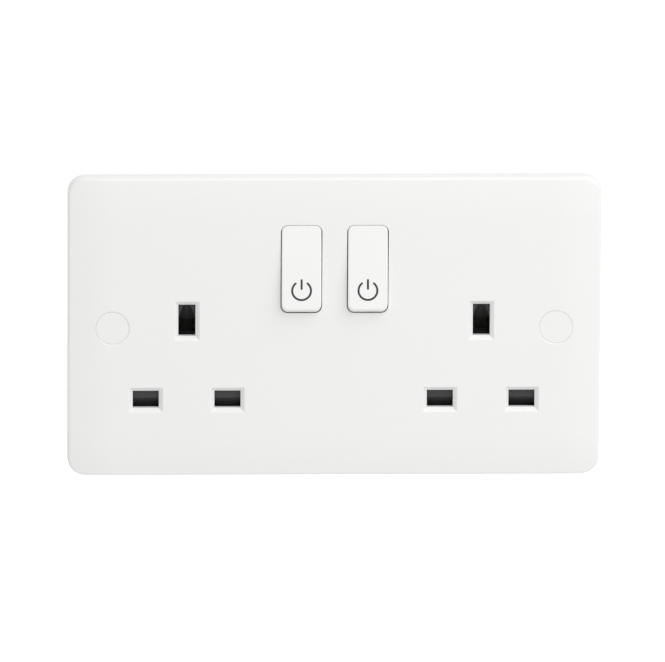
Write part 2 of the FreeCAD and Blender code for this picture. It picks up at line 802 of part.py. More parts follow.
def make_plunger(name, side):
    plunger = new_body(name, f"{side} * rocker_x", "pivot_y", "rocker_height", "-rocker_tilt")
    shoulder = "plunger_reach - plunger_taper"
    profile = [
        ("0", "-plunger_back"),
        ("plunger_radius", "-plunger_back"),
        ("plunger_radius", shoulder),
        ("plunger_nose", "plunger_reach"),
        ("plunger_nose", "plunger_reach + plunger_nose"),
        ("0", "plunger_reach + plunger_nose"),
    ]
    turn(plunger, "Pin", "XY", "0", [(polygon, *profile)])
    tip = "plunger_reach + plunger_nose"
    soften(plunger, "Nose", "Fillet", "plunger_nose * 0.98", lambda e: flat_at(e, "Y", tip))
    return plunger


def coil(body, plane, radius, wire, start, end, turns):
    """A helix of six-sided wire about the sketch's upright axis."""
    sketch = new_sketch(body, "Wire", plane)
    corners = ((1, 0), (0.5, 0.866), (-0.5, 0.866), (-1, 0), (-0.5, -0.866), (0.5, -0.866))
    low = f"{start} + 0.866 * {wire}"
    polygon(sketch, *[(f"{radius} + {a} * {wire}", f"{low} + {b} * {wire}") for a, b in corners])
    helix = body.newObject("PartDesign::AdditiveHelix", "Coil")
    helix.Profile = sketch
    helix.ReferenceAxis = (sketch, ["V_Axis"])
    helix.Mode = "height-turns-angle"
    bind(helix, "Height", f"({end}) - ({start}) - 1.732 * {wire}")
    bind(helix, "Turns", turns)
    return settle(body, helix)


def make_plunger_spring(name, side):
    spring = new_body(name, f"{side} * rocker_x", "pivot_y", "rocker_height", "-rocker_tilt")
    coil(
        spring,
        "XY",
        "plunger_spring_radius",
        "spring_wire",
        "rocker_wall - rocker_face + 0.02",
        "-plunger_back - 0.02",
        "plunger_spring_turns",
    )
    return spring


def make_contact_arm(name, side):
    """A see-saw strip with a groove that rocks on the fulcrum's round edge."""
    arm = new_body(name, f"{side} * rocker_x", "fulcrum_y", "rocker_height", "arm_tilt")
    half = "arm_width / 2"
    top = "-arm_stand_off - arm_thickness"
    strip = (box, top, "-arm_stand_off", "-arm_half", "arm_half")
    extrude(arm, "Strip", "YZ", f"-{half}", half, strip)
    groove = (circle, "0", "0", "fulcrum_radius + fulcrum_play")
    extrude(arm, "Groove", "YZ", f"-{half} - 1", f"{half} + 1", groove, cut=True)
    hole = (circle, "0", "contact_reach", "rivet_radius + rivet_play")
    extrude(arm, "RivetHole", "XZ", f"{top} - 1", "0", hole, cut=True)

    def end_corner(edge):
        return flat_at(edge, "X", half) or flat_at(edge, "X", f"-{half}")

    def at_end(edge):
        ends = flat_at(edge, "Z", "arm_half") or flat_at(edge, "Z", "-arm_half")
        return ends and end_corner(edge)

    soften(arm, "Ends", "Fillet", "contact_radius / 2", at_end)
    return arm


def rivet(length, face_way):
    """A contact rivet along Y: a contact head, a shank through the strip and a swaged head."""
    back = f"{face_way} * -1"
    profile = [
        ("0", f"{face_way} * (contact_rim + contact_dome)"),
        ("contact_radius", f"{face_way} * contact_rim"),
        ("contact_radius", "0"),
        ("rivet_radius", "0"),
        ("rivet_radius", f"{back} * ({length})"),
        ("rivet_head_radius", f"{back} * ({length})"),
        ("rivet_head_radius", f"{back} * ({length} + rivet_head)"),
        ("0", f"{back} * ({length} + rivet_head)"),
    ]
    return profile


def make_moving_contact(name, side):
    contact = new_body(name, f"{side} * rocker_x", "fulcrum_y", "rocker_height", "arm_tilt")
    profile = [
        (across, f"{up} - arm_stand_off") for across, up in rivet("arm_thickness", 1)
    ]
    sketch = new_sketch(contact, "RivetSketch", "XY", "contact_reach")
    domed(sketch, profile, "contact_rim + contact_dome - arm_stand_off - contact_ball", 1)
    revolve_sketch(contact, sketch)
    return contact


def make_fixed_contact(name, side):
    contact = new_body(name, f"{side} * rocker_x", "live_level", "contact_z")
    profile = rivet("strip", -1)
    profile[0] = ("0", "-contact_rim")
    turn(contact, "Rivet", "XY", "0", [(polygon, *profile)])
    return contact


def domed(sketch, profile, centre, way):
    """A half profile whose first side is the arc of a dome centred on the axis."""
    first, second = profile[0], profile[1]
    rest = profile[1:]
    corners = [Vector(size(a), size(b), 0) for a, b in rest] + [
        Vector(size(first[0]), size(first[1]), 0)
    ]
    radius = size("contact_ball")
    cy = size(centre)
    angle = math.atan2(corners[0].y - cy, corners[0].x)
    arc = add_arc(sketch, (0, cy), radius, angle, math.pi / 2)
    lines = [
        sketch.addGeometry(Part.LineSegment(a, b), False)
        for a, b in zip(corners, corners[1:])
    ]
    sketch.addConstraint(Sketcher.Constraint("Coincident", arc, 1, lines[0], 1))
    for one, other in zip(lines, lines[1:]):
        sketch.addConstraint(Sketcher.Constraint("Coincident", one, 2, other, 1))
    sketch.addConstraint(Sketcher.Constraint("Coincident", lines[-1], 2, arc, 2))
    hold(sketch, arc, 3, "0", centre)
    for line, (across, up) in zip(lines, rest):
        hold(sketch, line, 1, across, up)
    hold(sketch, lines[-1], 2, across="0")


def revolve_sketch(body, sketch):
    feature = body.newObject("PartDesign::Revolution", "Rivet")
    feature.Profile = sketch
    feature.ReferenceAxis = (sketch, ["V_Axis"])
    feature.Angle = 360
    settle(body, feature)


def clip_outline(middle, level):
    """A pin clip as (depth, offset) points: a base, and two leaves that pinch and flare."""
    mouth = "shutter_floor_back + clip_mouth_gap"
    half = [
        (mouth, "clip_mouth + strip"),
        ("clip_pinch_depth", "clip_pinch + strip"),
        (level, "clip_base_half"),
        (f"{level} + strip", "clip_base_half"),
    ]
    inner = [
        (level, "clip_base_half - strip"),
        ("clip_pinch_depth", "clip_pinch"),
        (mouth, "clip_mouth"),
    ]
    outside = [(depth, f"{middle} + {off}") for depth, off in half]
    outside += [(depth, f"{middle} - ({off})") for depth, off in reversed(half)]
    back = [(depth, f"{middle} - ({off})") for depth, off in reversed(inner)]
    back += [(depth, f"{middle} + {off}") for depth, off in inner]
    return outside + back


def line_clip(body, name, across, level):
    """A clip for a live or neutral pin, with its leaves above and below the pin."""
    half = "clip_length / 2"
    outline = (polygon, *clip_outline("line_height", level))
    extrude(body, name, "YZ", f"{across} - {half}", f"{across} + {half}", outline)


def strip_run(body, name, level, *boxes):
    """Flat lengths of strip that lie at one level."""
    outlines = [(box, *edges) for edges in boxes]
    for n, outline in enumerate(outlines):
        extrude(body, f"{name}{n}", "XZ", level, f"{level} + strip", outline)


def make_live_clip_left():
    clip = new_body("live_clip_left")
    across = "pin_offset - socket_x"
    line_clip(clip, "Clip", across, "live_level")
    right = f"{across} + live_run_inset + 1"
    left = f"{right} - strip_width"
    low, high = "contact_z - strip_width / 2", "contact_z + strip_width / 2"
    strip_run(
        clip,
        "Run",
        "live_level",
        (left, right, "line_height", high),
        (left, "contact_end - rocker_x", low, high),
    )
    rivet_hole(clip, "-rocker_x")
    return clip


def make_live_clip_right():
    clip = new_body("live_clip_right")
    across = "socket_x + pin_offset"
    line_clip(clip, "Clip", across, "live_level")
    right = "notch_x - base_wall - 0.5"
    left = f"{right} - strip_width + 0.5"
    low, high = "contact_z - strip_width / 2", "contact_z + strip_width / 2"
    strip_run(
        clip,
        "Run",
        "live_level",
        (left, across, "line_height", "line_height + strip_width"),
        (left, right, "line_height", high),
        ("rocker_x - contact_end", right, low, high),
    )
    rivet_hole(clip, "rocker_x")
    return clip


def rivet_hole(body, across):
    hole = (circle, across, "contact_z", "rivet_radius + rivet_play")
    start, end = "live_level - 1", "live_level + strip + 1"
    extrude(body, "RivetHole", "XZ", start, end, hole, cut=True)


def make_live_bar():
    """The feed strip, with a round-edged fulcrum for each switch arm and a leg to its terminal."""
    bar = new_body("live_bar")
    leg = "1.5 * terminal_pitch"
    low, high = "rocker_height - live_bar_half", "rocker_height + live_bar_half"
    strip_run(
        bar,
        "Run",
        "live_level",
        ("-rocker_x - fulcrum_width / 2 - 0.5", f"{leg} + strip_width / 2", low, high),
        (f"{leg} - strip_width / 2", f"{leg} + strip_width / 2", "tab_end", low),
    )
    for side in (-1, 1):
        name = "Left" if side < 0 else "Right"
        start = f"{side} * rocker_x - fulcrum_width / 2"
        end = f"{side} * rocker_x + fulcrum_width / 2"
        rise = "fulcrum_radius"
        post = (box, "fulcrum_y", "live_level + 0.1", f"rocker_height - {rise}", f"rocker_height + {rise}")
        extrude(bar, "Fulcrum" + name, "YZ", start, end, post)
        edge = (circle, "fulcrum_y", "rocker_height", "fulcrum_radius")
        extrude(bar, "Edge" + name, "YZ", start, end, edge)
    return bar


def make_neutral_bar():
    bar = new_body("neutral_bar")
    left, right = "-socket_x - pin_offset", "socket_x - pin_offset"
    line_clip(bar, "LeftClip", left, "neutral_level")
    leg = "-1.5 * terminal_pitch"
    low, high = "line_height + 1.2", "line_height + 1.2 + strip_width"
    strip_run(
        bar,
        "Run",
        "neutral_level",
        (f"{left} - clip_length / 2", f"{right} + clip_length / 2", low, high),
        (f"{leg} - strip_width / 2", f"{leg} + strip_width / 2", "tab_end", low),
    )
    line_clip(bar, "RightClip", right, "neutral_level")
    return bar


def make_earth_bar():
    bar = new_body("earth_bar")
    top = "earth_height - 1"
    low = f"{top} - strip_width"
    half = "earth_clip_length / 2"
    strip_run(bar, "Run", "earth_level", ("-socket_x", "socket_x", low, top))
    for side in (-1, 1):
        name = "Left" if side < 0 else "Right"
        outline = clip_outline(f"{side} * socket_x", "earth_level")
        outline = [(across, depth) for depth, across in outline]
        start, end = f"earth_height - {half}", f"earth_height + {half}"
        extrude(bar, name + "Clip", "XY", start, end, (polygon, *outline))
        leg = f"{side} * terminal_pitch / 2"
        edges = (f"{leg} - strip_width / 2", f"{leg} + strip_width / 2", "tab_end", f"{low} + 0.1")
        strip_run(bar, name + "Leg", "earth_level", edges)
    return bar


def make_terminal(name, place, level):
    """A brass block with a hole for the wire, one for its screw and a slot for the strip's tab."""
    terminal = new_body(name, place, "wire_bore_depth", "floor_height")
    half = "terminal_width / 2"
    front, back = "terminal_front - wire_bore_depth", "back_face - wire_bore_depth"
    block_outline = (box, f"-{half}", half, front, back)
    extrude(terminal, "Block", "XY", "0", "terminal_length", block_outline)
    edges = ("terminal_front - wire_bore_depth", "back_face - wire_bore_depth")
    soften(
        terminal,
        "Corners",
        "Chamfer",
        "strip / 2",
        lambda e: flat_at(e, "Y", edges[0]) and near(e.BoundBox.ZLength, size("terminal_length")),
    )
    bore = (circle, "0", "0", "wire_bore")
    extrude(terminal, "WireBore", "XY", "-1", "terminal_length + 1", bore, cut=True)
    hole = (circle, "0", "terminal_length / 2", "terminal_screw_radius + terminal_screw_play")
    extrude(terminal, "ScrewHole", "XZ", "0", f"{back} + 1", hole, cut=True)
    slot_half = "strip_width / 2 + tab_play"
    start = f"{level} - wire_bore_depth - tab_play"
    low = "terminal_length - tab_depth - tab_play"
    slot = (box, f"-({slot_half})", slot_half, low, "terminal_length + 1")
    extrude(terminal, "TabSlot", "XZ", start, f"{start} + strip + 2 * tab_play", slot, cut=True)
    return terminal


def gather(name, bodies):
    """Several like solids as one piece."""
    group = doc.addObject("Part::Compound", name)
    group.Links = bodies
    group.Label = name
    doc.recompute()
    return group


def driver_slot(body, radius, head_level):
    """A slot for a driver in a head that faces the wall."""
    slot = (middle_box, "0", "0", f"2 * ({radius}) + 1", "screw_slot_width")
    start = f"{head_level} - screw_slot_depth"
    extrude(body, "DriverSlot", "XZ", start, f"{head_level} + 1", slot, cut=True)


def make_terminal_screws():
    screws = []
    for n, place in enumerate(("-1.5", "-0.5", "0.5", "1.5"), start=1):
        height = "floor_height + terminal_length / 2"
        screw = new_body(
            f"terminal_screw_{n}", f"{place} * terminal_pitch", "back_face", height
        )
        tip = "wire_bore_depth + wire_bore + terminal_screw_clear - back_face"
        profile = [
            ("0", tip),
            ("terminal_screw_radius - 0.3", tip),
            ("terminal_screw_radius", f"{tip} + 0.3"),
            ("terminal_screw_radius", "0"),
            ("terminal_head_radius", "0"),
            ("terminal_head_radius", "terminal_head_height - 0.3"),
            ("terminal_head_radius - 0.3", "terminal_head_height"),
            ("0", "terminal_head_height"),
        ]
        turn(screw, "Screw", "XY", "0", [(polygon, *profile)])
        driver_slot(screw, "terminal_head_radius", "terminal_head_height")
        screws.append(screw)
    return gather("terminal_screws", screws)


def make_housing_screws():
    screws = []
    for n, (across, up) in enumerate(base_screw_places(), start=1):
        screw = new_body(f"housing_screw_{n}", across, "base_depth", up)
        radius, head = "base_screw_radius", "base_screw_head"
        tip = "inner_face + 1.5 - base_depth"
        profile = [
            ("0", tip),
            (f"{radius} - 0.6", tip),
            (radius, f"{tip} + 1.2"),
            (radius, f"{radius} - {head}"),
            (head, "0"),
            ("0", "0"),
        ]
        turn(screw, "Screw", "XY", "0", [(polygon, *profile)])
        driver_slot(screw, head, "0")
        screws.append(screw)
    return gather("housing_screws", screws)


def make_rear_housing():
    """The base: a box behind the plate with seats for the strips, terminals and screws."""
    housing = new_body("rear_housing")
    extrude(housing, "Outside", "XZ", "inner_face", "base_depth", (base_outline, "0"))

    def corner(edge):
        bounds = edge.BoundBox
        outer = near(abs(bounds.XMin), size("base_half"))
        level = near(bounds.ZMin, size("base_top")) or near(bounds.ZMin, -size("base_bottom"))
        return outer and level and near(bounds.YLength, size("base_depth - inner_face"))

    soften(housing, "Corners", "Fillet", "base_corner", corner)
    soften(
        housing, "BackEdge", "Chamfer", "base_back_bevel", lambda e: flat_at(e, "Y", "base_depth")
    )
    cavity = (base_outline, "-base_wall")
    extrude(housing, "Cavity", "XZ", "inner_face - 1", "back_face", cavity, cut=True)
    places = list(base_screw_places())
    tubes = [(circle, *place, "base_tube_radius") for place in places]
    extrude(housing, "ScrewTubes", "XZ", "pillar_end", "back_face + 0.1", *tubes)
    support_posts(housing)
    terminal_dividers(housing)
    hole = "base_screw_radius + base_screw_hole_gap"
    holes = [(circle, *place, hole) for place in places]
    extrude(housing, "ScrewHoles", "XZ", "pillar_end - 1", "base_depth + 1", *holes, cut=True)

    def hole_edge(edge):
        return flat_at(edge, "Y", "base_depth") and near(edge.BoundBox.XLength, 2 * size(hole))

    soften(housing, "Countersinks", "Chamfer", f"base_screw_head - ({hole})", hole_edge)
    terminals = [f"{n} * terminal_pitch" for n in ("-1.5", "-0.5", "0.5", "1.5")]
    middle = "floor_height + terminal_length / 2"
    access = "terminal_head_radius + access_play"
    holes = [(circle, across, middle, access) for across in terminals]
    extrude(housing, "ScrewAccess", "XZ", "back_face - 1", "base_depth + 1", *holes, cut=True)
    entry = "wire_bore + wire_entry_play"
    holes = [(circle, across, "wire_bore_depth", entry) for across in terminals]
    start = "-base_bottom - 1"
    extrude(housing, "WireEntries", "XY", start, "floor_height + 0.5", *holes, cut=True)
    soften(
        housing,
        "EntryFunnels",
        "Chamfer",
        "wire_entry_play",
        lambda e: flat_at(e, "Z", "-base_bottom") and near(e.BoundBox.XLength, 2 * size(entry)),
    )
    return housing


def support_posts(housing):
    """Posts on the back wall under the strips and clips, each up to what it carries."""
    live, neutral = "live_level + strip", "neutral_level + strip"
    half = "post_size / 2"
    inner, outer = "socket_x - pin_offset", "socket_x + pin_offset"
    low = ("line_height - clip_base_half + 0.1", "line_height + 0.8")
    right_run = "notch_x - base_wall - 0.5 - strip_width / 2"
    posts = [
        (live, f"-({inner})", *low),
        (live, outer, *low),
        (live, "-post_reach", "contact_z - 1.5", "contact_z + 1.5"),
        (live, "post_reach", "contact_z - 1.5", "contact_z + 1.5"),
        (live, f"2.4 - ({inner})", "rocker_height - 11", "rocker_height - 7"),
        (live, right_run, "earth_height + 6", "earth_height + 10"),
        (live, "0", "rocker_height - 2", "rocker_height + 2"),
        (live, "1.5 * terminal_pitch", "earth_height + 1", "earth_height + 5"),
        (neutral, f"-({outer})", *low),
        (neutral, inner, *low),
    ]
    for side in (-1, 1):
        across = f"{side} * socket_x"
        top = "shutter_top + spring_room"
        posts.append(("shutter_floor_back", across, f"{top} - 2.4", f"{top} + 0.2"))
        low_edge = "line_height - shutter_rise - tray_play - tray_wall"
        posts.append(("shutter_floor_back", across, f"{low_edge} + 0.2", f"{low_edge} + 2"))
    for n, (level, across, low_z, high_z) in enumerate(posts, start=1):
        outline = (box, f"{across} - {half}", f"{across} + {half}", low_z, high_z)
        extrude(housing, f"Post{n}", "XZ", level, "back_face + 0.1", outline)


def terminal_dividers(housing):
    low, high = "floor_height - 0.1", "floor_height + terminal_length"
    half = "terminal_pitch / 2 - terminal_width / 2 - divider_gap"
    walls = [
        (box, f"{n} * terminal_pitch - ({half})", f"{n} * terminal_pitch + {half}", low, high)
        for n in range(-2, 3)
    ]
    extrude(housing, "Dividers", "XZ", "terminal_front", "back_face + 0.1", *walls)


def make_shutter(name, side):
    """A sliding shutter: a bar over the live and neutral slots, and a stem with the earth window."""
    shutter = new_body(name, f"{side} * socket_x")
    front, back = "shutter_front", "shutter_front + shutter_thickness"
    window = "earth_slot_width / 2 + shutter_window_play"
    stem = f"{window} + shutter_cheek"
    bar_low, bar_top = "line_height - shutter_rise", "line_height + shutter_rise"
    bar = (box, "-shutter_bar_half", "shutter_bar_half", bar_low, bar_top)
    extrude(shutter, "Bar", "XZ", front, back, bar)
    stem_box = (box, f"-({stem})", stem, f"{bar_top} - 0.1", "shutter_top")
    extrude(shutter, "Stem", "XZ", front, back, stem_box)
    bottom = "earth_height - earth_slot_height / 2 - shutter_stroke - 0.4"
    lintel = "earth_entry - shutter_stroke - 0.4"
    window_box = (box, f"-({window})", window, bottom, lintel)
    extrude(shutter, "EarthWindow", "XZ", f"{front} - 1", f"{back} + 1", window_box, cut=True)
    scoop(shutter, window, front, back, lintel)
    half = "line_slot_width / 2 + shutter_ramp_margin"
    depth = f"{front} + shutter_ramp_depth"
    ramp = [
        (f"{front} - 1", "line_height"),
        (f"{front} - 1", f"{bar_low} - 1"),
        (depth, f"{bar_low} - 1"),
        (depth, bar_low),
        (front, "line_height"),
    ]
    for hand in (-1, 1):
        cut_name = "LeftRamp" if hand < 0 else "RightRamp"
        start, end = f"{hand} * pin_offset - ({half})", f"{hand} * pin_offset + {half}"
        extrude(shutter, cut_name, "YZ", start, end, (polygon, *ramp), cut=True)
    peg = (circle, "0", "spring_y", "spring_peg_radius")
    start, end = "shutter_top - 0.1", "shutter_top + spring_peg_length"
    extrude(shutter, "SpringPeg", "XY", start, end, peg)
    return shutter


def scoop(shutter, window, front, back, lintel):
    """The slope over the earth window that the pin lifts: an arch in front, level behind."""
    slot_top = "earth_height + earth_slot_height / 2"
    arch = [
        (window, f"{slot_top} - scoop_foot_drop"),
        ("scoop_shoulder", f"{slot_top} - scoop_shoulder_drop"),
        ("scoop_top", "earth_entry"),
    ]
    level_edge = [
        (window, f"{lintel} - 0.05"),
        (f"0.7 * ({window})", lintel),
        (f"0.2 * ({window})", f"{lintel} + 0.05"),
    ]
    outlines = (
        ("ScoopBack", back, level_edge),
        ("ScoopFront", front, arch),
    )
    sections = []
    for name, level, side in outlines:
        sketch = new_sketch(shutter, name, "XZ", level)
        right = [(window, f"{lintel} - 0.1"), *side]
        polygon(sketch, *right, *((f"-({across})", up) for across, up in reversed(right)))
        sections.append(sketch)
    loft = shutter.newObject("PartDesign::SubtractiveLoft", "Scoop")
    loft.Profile = sections[0]
    loft.Sections = [sections[1]]
    loft.Ruled = True
    settle(shutter, loft)


def tray_outline(sketch, grow):
    """The room of a shutter, seen from the front and grown all round."""
    bar = f"shutter_bar_half + tray_play + {grow}"
    stem = f"earth_slot_width / 2 + shutter_window_play + shutter_cheek + tray_play + {grow}"
    rise = f"shutter_rise + tray_play + {grow}"
    low, step = f"line_height - ({rise})", f"line_height + {rise} + shutter_stroke"
    top = f"shutter_top + spring_room + {grow}"
    polygon(
        sketch,
        (f"-({bar})", low),
        (bar, low),
        (bar, step),
        (stem, step),
        (stem, top),
        (f"-({stem})", top),
        (f"-({stem})", step),
        (f"-({bar})", step),
    )


def make_shutter_frame(name, side):
    """The tray behind the plate in which a shutter slides, with a window for each pin."""
    tray = new_body(name, f"{side} * socket_x")
    floor = "shutter_front + shutter_thickness + shutter_gap"
    extrude(tray, "Tray", "XZ", "inner_face", "shutter_floor_back", (tray_outline, "tray_wall"))
    extrude(tray, "Room", "XZ", "inner_face - 1", floor, (tray_outline, "0"), cut=True)
    play = "2 * tray_window_play"
    windows = [
        (middle_box, "0", "earth_height", f"earth_slot_width + {play}", f"earth_slot_height + {play}")
    ]
    for hand in (-1, 1):
        across = f"{hand} * pin_offset"
        wide, tall = f"line_slot_width + {play}", f"line_slot_height + {play}"
        windows.append((middle_box, across, "line_height", wide, tall))
    extrude(tray, "Windows", "XZ", f"{floor} - 1", "shutter_floor_back + 1", *windows, cut=True)
    top = "shutter_top + spring_room"
    peg = (circle, "0", "spring_y", "spring_peg_radius")
    extrude(tray, "SpringPeg", "XY", f"{top} - spring_peg_length", f"{top} + 0.1", peg)
    return tray


def make_shutter_spring(name, side):
    spring = new_body(name, f"{side} * socket_x", "spring_y", "shutter_top")
    coil(spring, "XZ", "spring_radius", "spring_wire", "0.02", "spring_room - 0.02", "spring_turns")
    return spring


SIDES = (("left", -1), ("right", 1))
pieces = [make_front_plate(), make_rear_housing()]
for hand, side in SIDES:
    pieces.append(make_screw_cap(f"screw_cap_{hand}", side))
    pieces.append(make_fixing_screw(f"fixing_screw_{hand}", side))
    pieces.append(make_rocker(f"rocker_{hand}", side))
    pieces.append(make_plunger(f"plunger_{hand}", side))
    pieces.append(make_plunger_spring(f"plunger_spring_{hand}", side))
    pieces.append(make_contact_arm(f"contact_arm_{hand}", side))
    pieces.append(make_moving_contact(f"moving_contact_{hand}", side))
    pieces.append(make_fixed_contact(f"fixed_contact_{hand}", side))
    pieces.append(make_shutter(f"shutter_{hand}", side))
    pieces.append(make_shutter_frame(f"shutter_frame_{hand}", side))
    pieces.append(make_shutter_spring(f"shutter_spring_{hand}", side))
pieces.append(make_live_clip_left())
pieces.append(make_live_clip_right())
pieces.append(make_live_bar())
pieces.append(make_neutral_bar())
pieces.append(make_earth_bar())
pieces.append(make_terminal("neutral_terminal", "-1.5 * terminal_pitch", "neutral_level"))
pieces.append(make_terminal("earth_terminal_left", "-0.5 * terminal_pitch", "earth_level"))
pieces.append(make_terminal("earth_terminal_right", "0.5 * terminal_pitch", "earth_level"))
pieces.append(make_terminal("live_terminal", "1.5 * terminal_pitch", "live_level"))
pieces.append(make_terminal_screws())
pieces.append(make_housing_screws())

doc.recompute()
for thing in doc.Objects:
    if "Invalid" in thing.State or "Error" in thing.State:
        raise RuntimeError(f"{thing.Label} failed")
os.makedirs("parts", exist_ok=True)
for piece in pieces:
    if piece.Shape.isNull() or not piece.Shape.isValid():
        raise RuntimeError(f"{piece.Label} has no valid shape")
    piece.Shape.exportStep(f"parts/{piece.Label}.step")
print(len(pieces), "pieces")
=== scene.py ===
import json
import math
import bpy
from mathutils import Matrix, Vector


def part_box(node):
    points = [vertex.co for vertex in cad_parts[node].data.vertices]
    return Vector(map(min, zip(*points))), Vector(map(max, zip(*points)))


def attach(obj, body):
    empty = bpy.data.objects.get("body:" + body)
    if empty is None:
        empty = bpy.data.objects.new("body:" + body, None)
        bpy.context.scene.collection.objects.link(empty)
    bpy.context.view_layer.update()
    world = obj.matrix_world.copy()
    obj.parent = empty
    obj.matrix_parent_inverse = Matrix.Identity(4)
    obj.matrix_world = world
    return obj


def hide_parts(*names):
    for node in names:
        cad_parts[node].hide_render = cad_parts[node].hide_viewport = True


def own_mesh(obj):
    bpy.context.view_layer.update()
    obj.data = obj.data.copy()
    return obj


bl_info = {
    "name": "Twin Switched Socket",
    "version": (1, 0, 0),
    "blender": (4, 5, 0),
    "location": "View3D > Sidebar > Socket",
    "description": "Gives the packed twin socket outlet its finishes and small parts, and a stage",
    "category": "Object",
}

import bmesh
import bpy
from bpy.props import FloatProperty, FloatVectorProperty, IntProperty, PointerProperty
from mathutils import Matrix, Vector

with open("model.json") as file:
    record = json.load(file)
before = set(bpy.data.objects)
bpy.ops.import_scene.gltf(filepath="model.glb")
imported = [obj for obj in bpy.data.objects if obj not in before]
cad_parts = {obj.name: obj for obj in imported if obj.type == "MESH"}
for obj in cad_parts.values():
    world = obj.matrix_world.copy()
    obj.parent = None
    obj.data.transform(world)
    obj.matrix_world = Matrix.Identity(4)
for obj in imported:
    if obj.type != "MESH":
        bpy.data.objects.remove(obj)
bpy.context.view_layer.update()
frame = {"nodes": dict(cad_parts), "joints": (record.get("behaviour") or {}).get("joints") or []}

# Lengths are in metres. X runs to the right, Y into the wall from the wall's face, and Z up. Points
# closer than WELD are joined. Behind SHANK_FROM the fixing screws have their full width.
# FACE_MIDDLE is the point near the plate's middle that the camera's aim is measured from.
MM = 0.001
HANDS = ("left", "right")
WELD = 0.0005 * MM
SHANK_FROM = 5.0 * MM
FACE_MIDDLE = Vector((0.0, -5.5 * MM, 0.0))
JOINTS = {joint["name"]: joint for joint in frame["joints"]}


def linear(hex_colour):
    """An sRGB hex colour as the linear values that the shaders take."""
    channels = [int(hex_colour[n : n + 2], 16) / 255 for n in (1, 3, 5)]
    return tuple(c / 12.92 if c <= 0.04045 else ((c + 0.055) / 1.055) ** 2.4 for c in channels)


def colour_setting(name, description, hex_colour):
    return FloatVectorProperty(
        name=name,
        description=description,
        subtype="COLOR",
        size=3,
        min=0.0,
        max=1.0,
        default=linear(hex_colour),
    )


def length_setting(name, description, millimetres, least=0.0):
    return FloatProperty(
        name=name,
        description=description,
        unit="LENGTH",
        min=least,
        precision=5,
        default=millimetres * MM,
    )


def share_setting(name, description, share):
    return FloatProperty(
        name=name, description=description, subtype="FACTOR", min=0.0, max=1.0, default=share
    )


class SocketFinish(bpy.types.PropertyGroup):
    """Colours and gloss of the moulded and metal parts"""

    plate_colour: colour_setting("Plate", "Colour of the moulded front plate", "#EFEFEE")
    # The rockers' white is a little lighter than the plate's. The urea is the same, and the lift is
    # painted light for faces that tilt up towards the lamp.
    rocker_colour_with_painted_light: colour_setting("Rockers", "Colour of the two rockers", "#F2F2F1")
    cap_colour: colour_setting("Screw caps", "Colour of the round screw caps", "#EFEFED")
    base_colour: colour_setting("Base", "Colour of the moulded base in the wall", "#E9E9E4")
    shutter_colour: colour_setting("Shutters", "Colour of the safety shutters", "#383838")
    tray_colour: colour_setting("Trays", "Colour of the trays that guide the shutters", "#1B1B1B")
    plunger_colour: colour_setting("Plungers", "Colour of the switch plungers", "#E6E0CF")
    print_colour: colour_setting("Signs", "Colour of the printed power signs", "#2E2E30")
    brass_colour: colour_setting("Brass", "Colour of the strips and terminals", "#D9B873")
    silver_colour: colour_setting("Contacts", "Colour of the silver contact faces", "#DAD8D2")
    zinc_colour: colour_setting("Screws", "Colour of the zinc-plated screws", "#C9CBCC")
    wire_colour: colour_setting("Springs", "Colour of the spring wire", "#A3A4A6")
    plate_roughness: share_setting("Plate roughness", "Higher is duller", 0.30)
    rocker_roughness: share_setting("Rocker roughness", "Higher is duller", 0.24)


class SignSizes(bpy.types.PropertyGroup):
    """The power sign printed on each rocker"""

    radius: length_setting("Ring radius", "To the middle of the ring's line", 2.55)
    stroke: length_setting("Line width", "Width of the printed lines", 0.56)
    height: length_setting("Height", "Ring's middle above the rocker's lower edge", 5.65)
    bar_low: length_setting("Bar's foot", "Lower end of the bar above the ring's middle", 0.52)
    bar_high: length_setting("Bar's top", "Upper end of the bar above the ring's middle", 2.9)
    film: length_setting("Ink", "Thickness of the ink", 0.02)
    gap: FloatProperty(
        name="Gap",
        description="Half of the ring's opening at the top",
        subtype="ANGLE",
        default=math.radians(39),
    )


class CapSizes(bpy.types.PropertyGroup):
    """The thin lip round each screw cap, which closes its fit in the plate"""

    lip_reach: length_setting("Lip reach", "How far the lip stands out from the cap", 0.09)
    lip_drop: length_setting("Lip drop", "From the cap's face back to the lip's rim", 0.15)
    lip_depth: length_setting("Lip depth", "From the cap's face to the lip's back", 0.45)


class ScrewSizes(bpy.types.PropertyGroup):
    """Threads of the fixing screws"""

    pitch: length_setting("Pitch", "From one thread crest to the next", 0.6)
    height: length_setting("Thread height", "How far the crests stand out of the root", 0.15)
    root: length_setting("Root", "How far the thread's root stands off the plain shank", 0.02)
    start: length_setting("Start", "Where the thread starts, behind the wall's face", 1.0)
    tip: length_setting("Tip", "Plain length left at the screw's tip", 0.9)


class SpringSizes(bpy.types.PropertyGroup):
    """Wire and turns of the springs"""

    wire_radius: length_setting("Wire radius", "Half of the wire's thickness", 0.2)
    shutter_turns: IntProperty(
        name="Shutter spring turns", description="Turns of each shutter's spring", default=9
    )
    plunger_turns: IntProperty(
        name="Plunger spring turns", description="Turns of each plunger's spring", default=4
    )
    end_rise: share_setting(
        "End rise", "Rise of the closed end turns, as a share of an even turn's rise", 0.42
    )


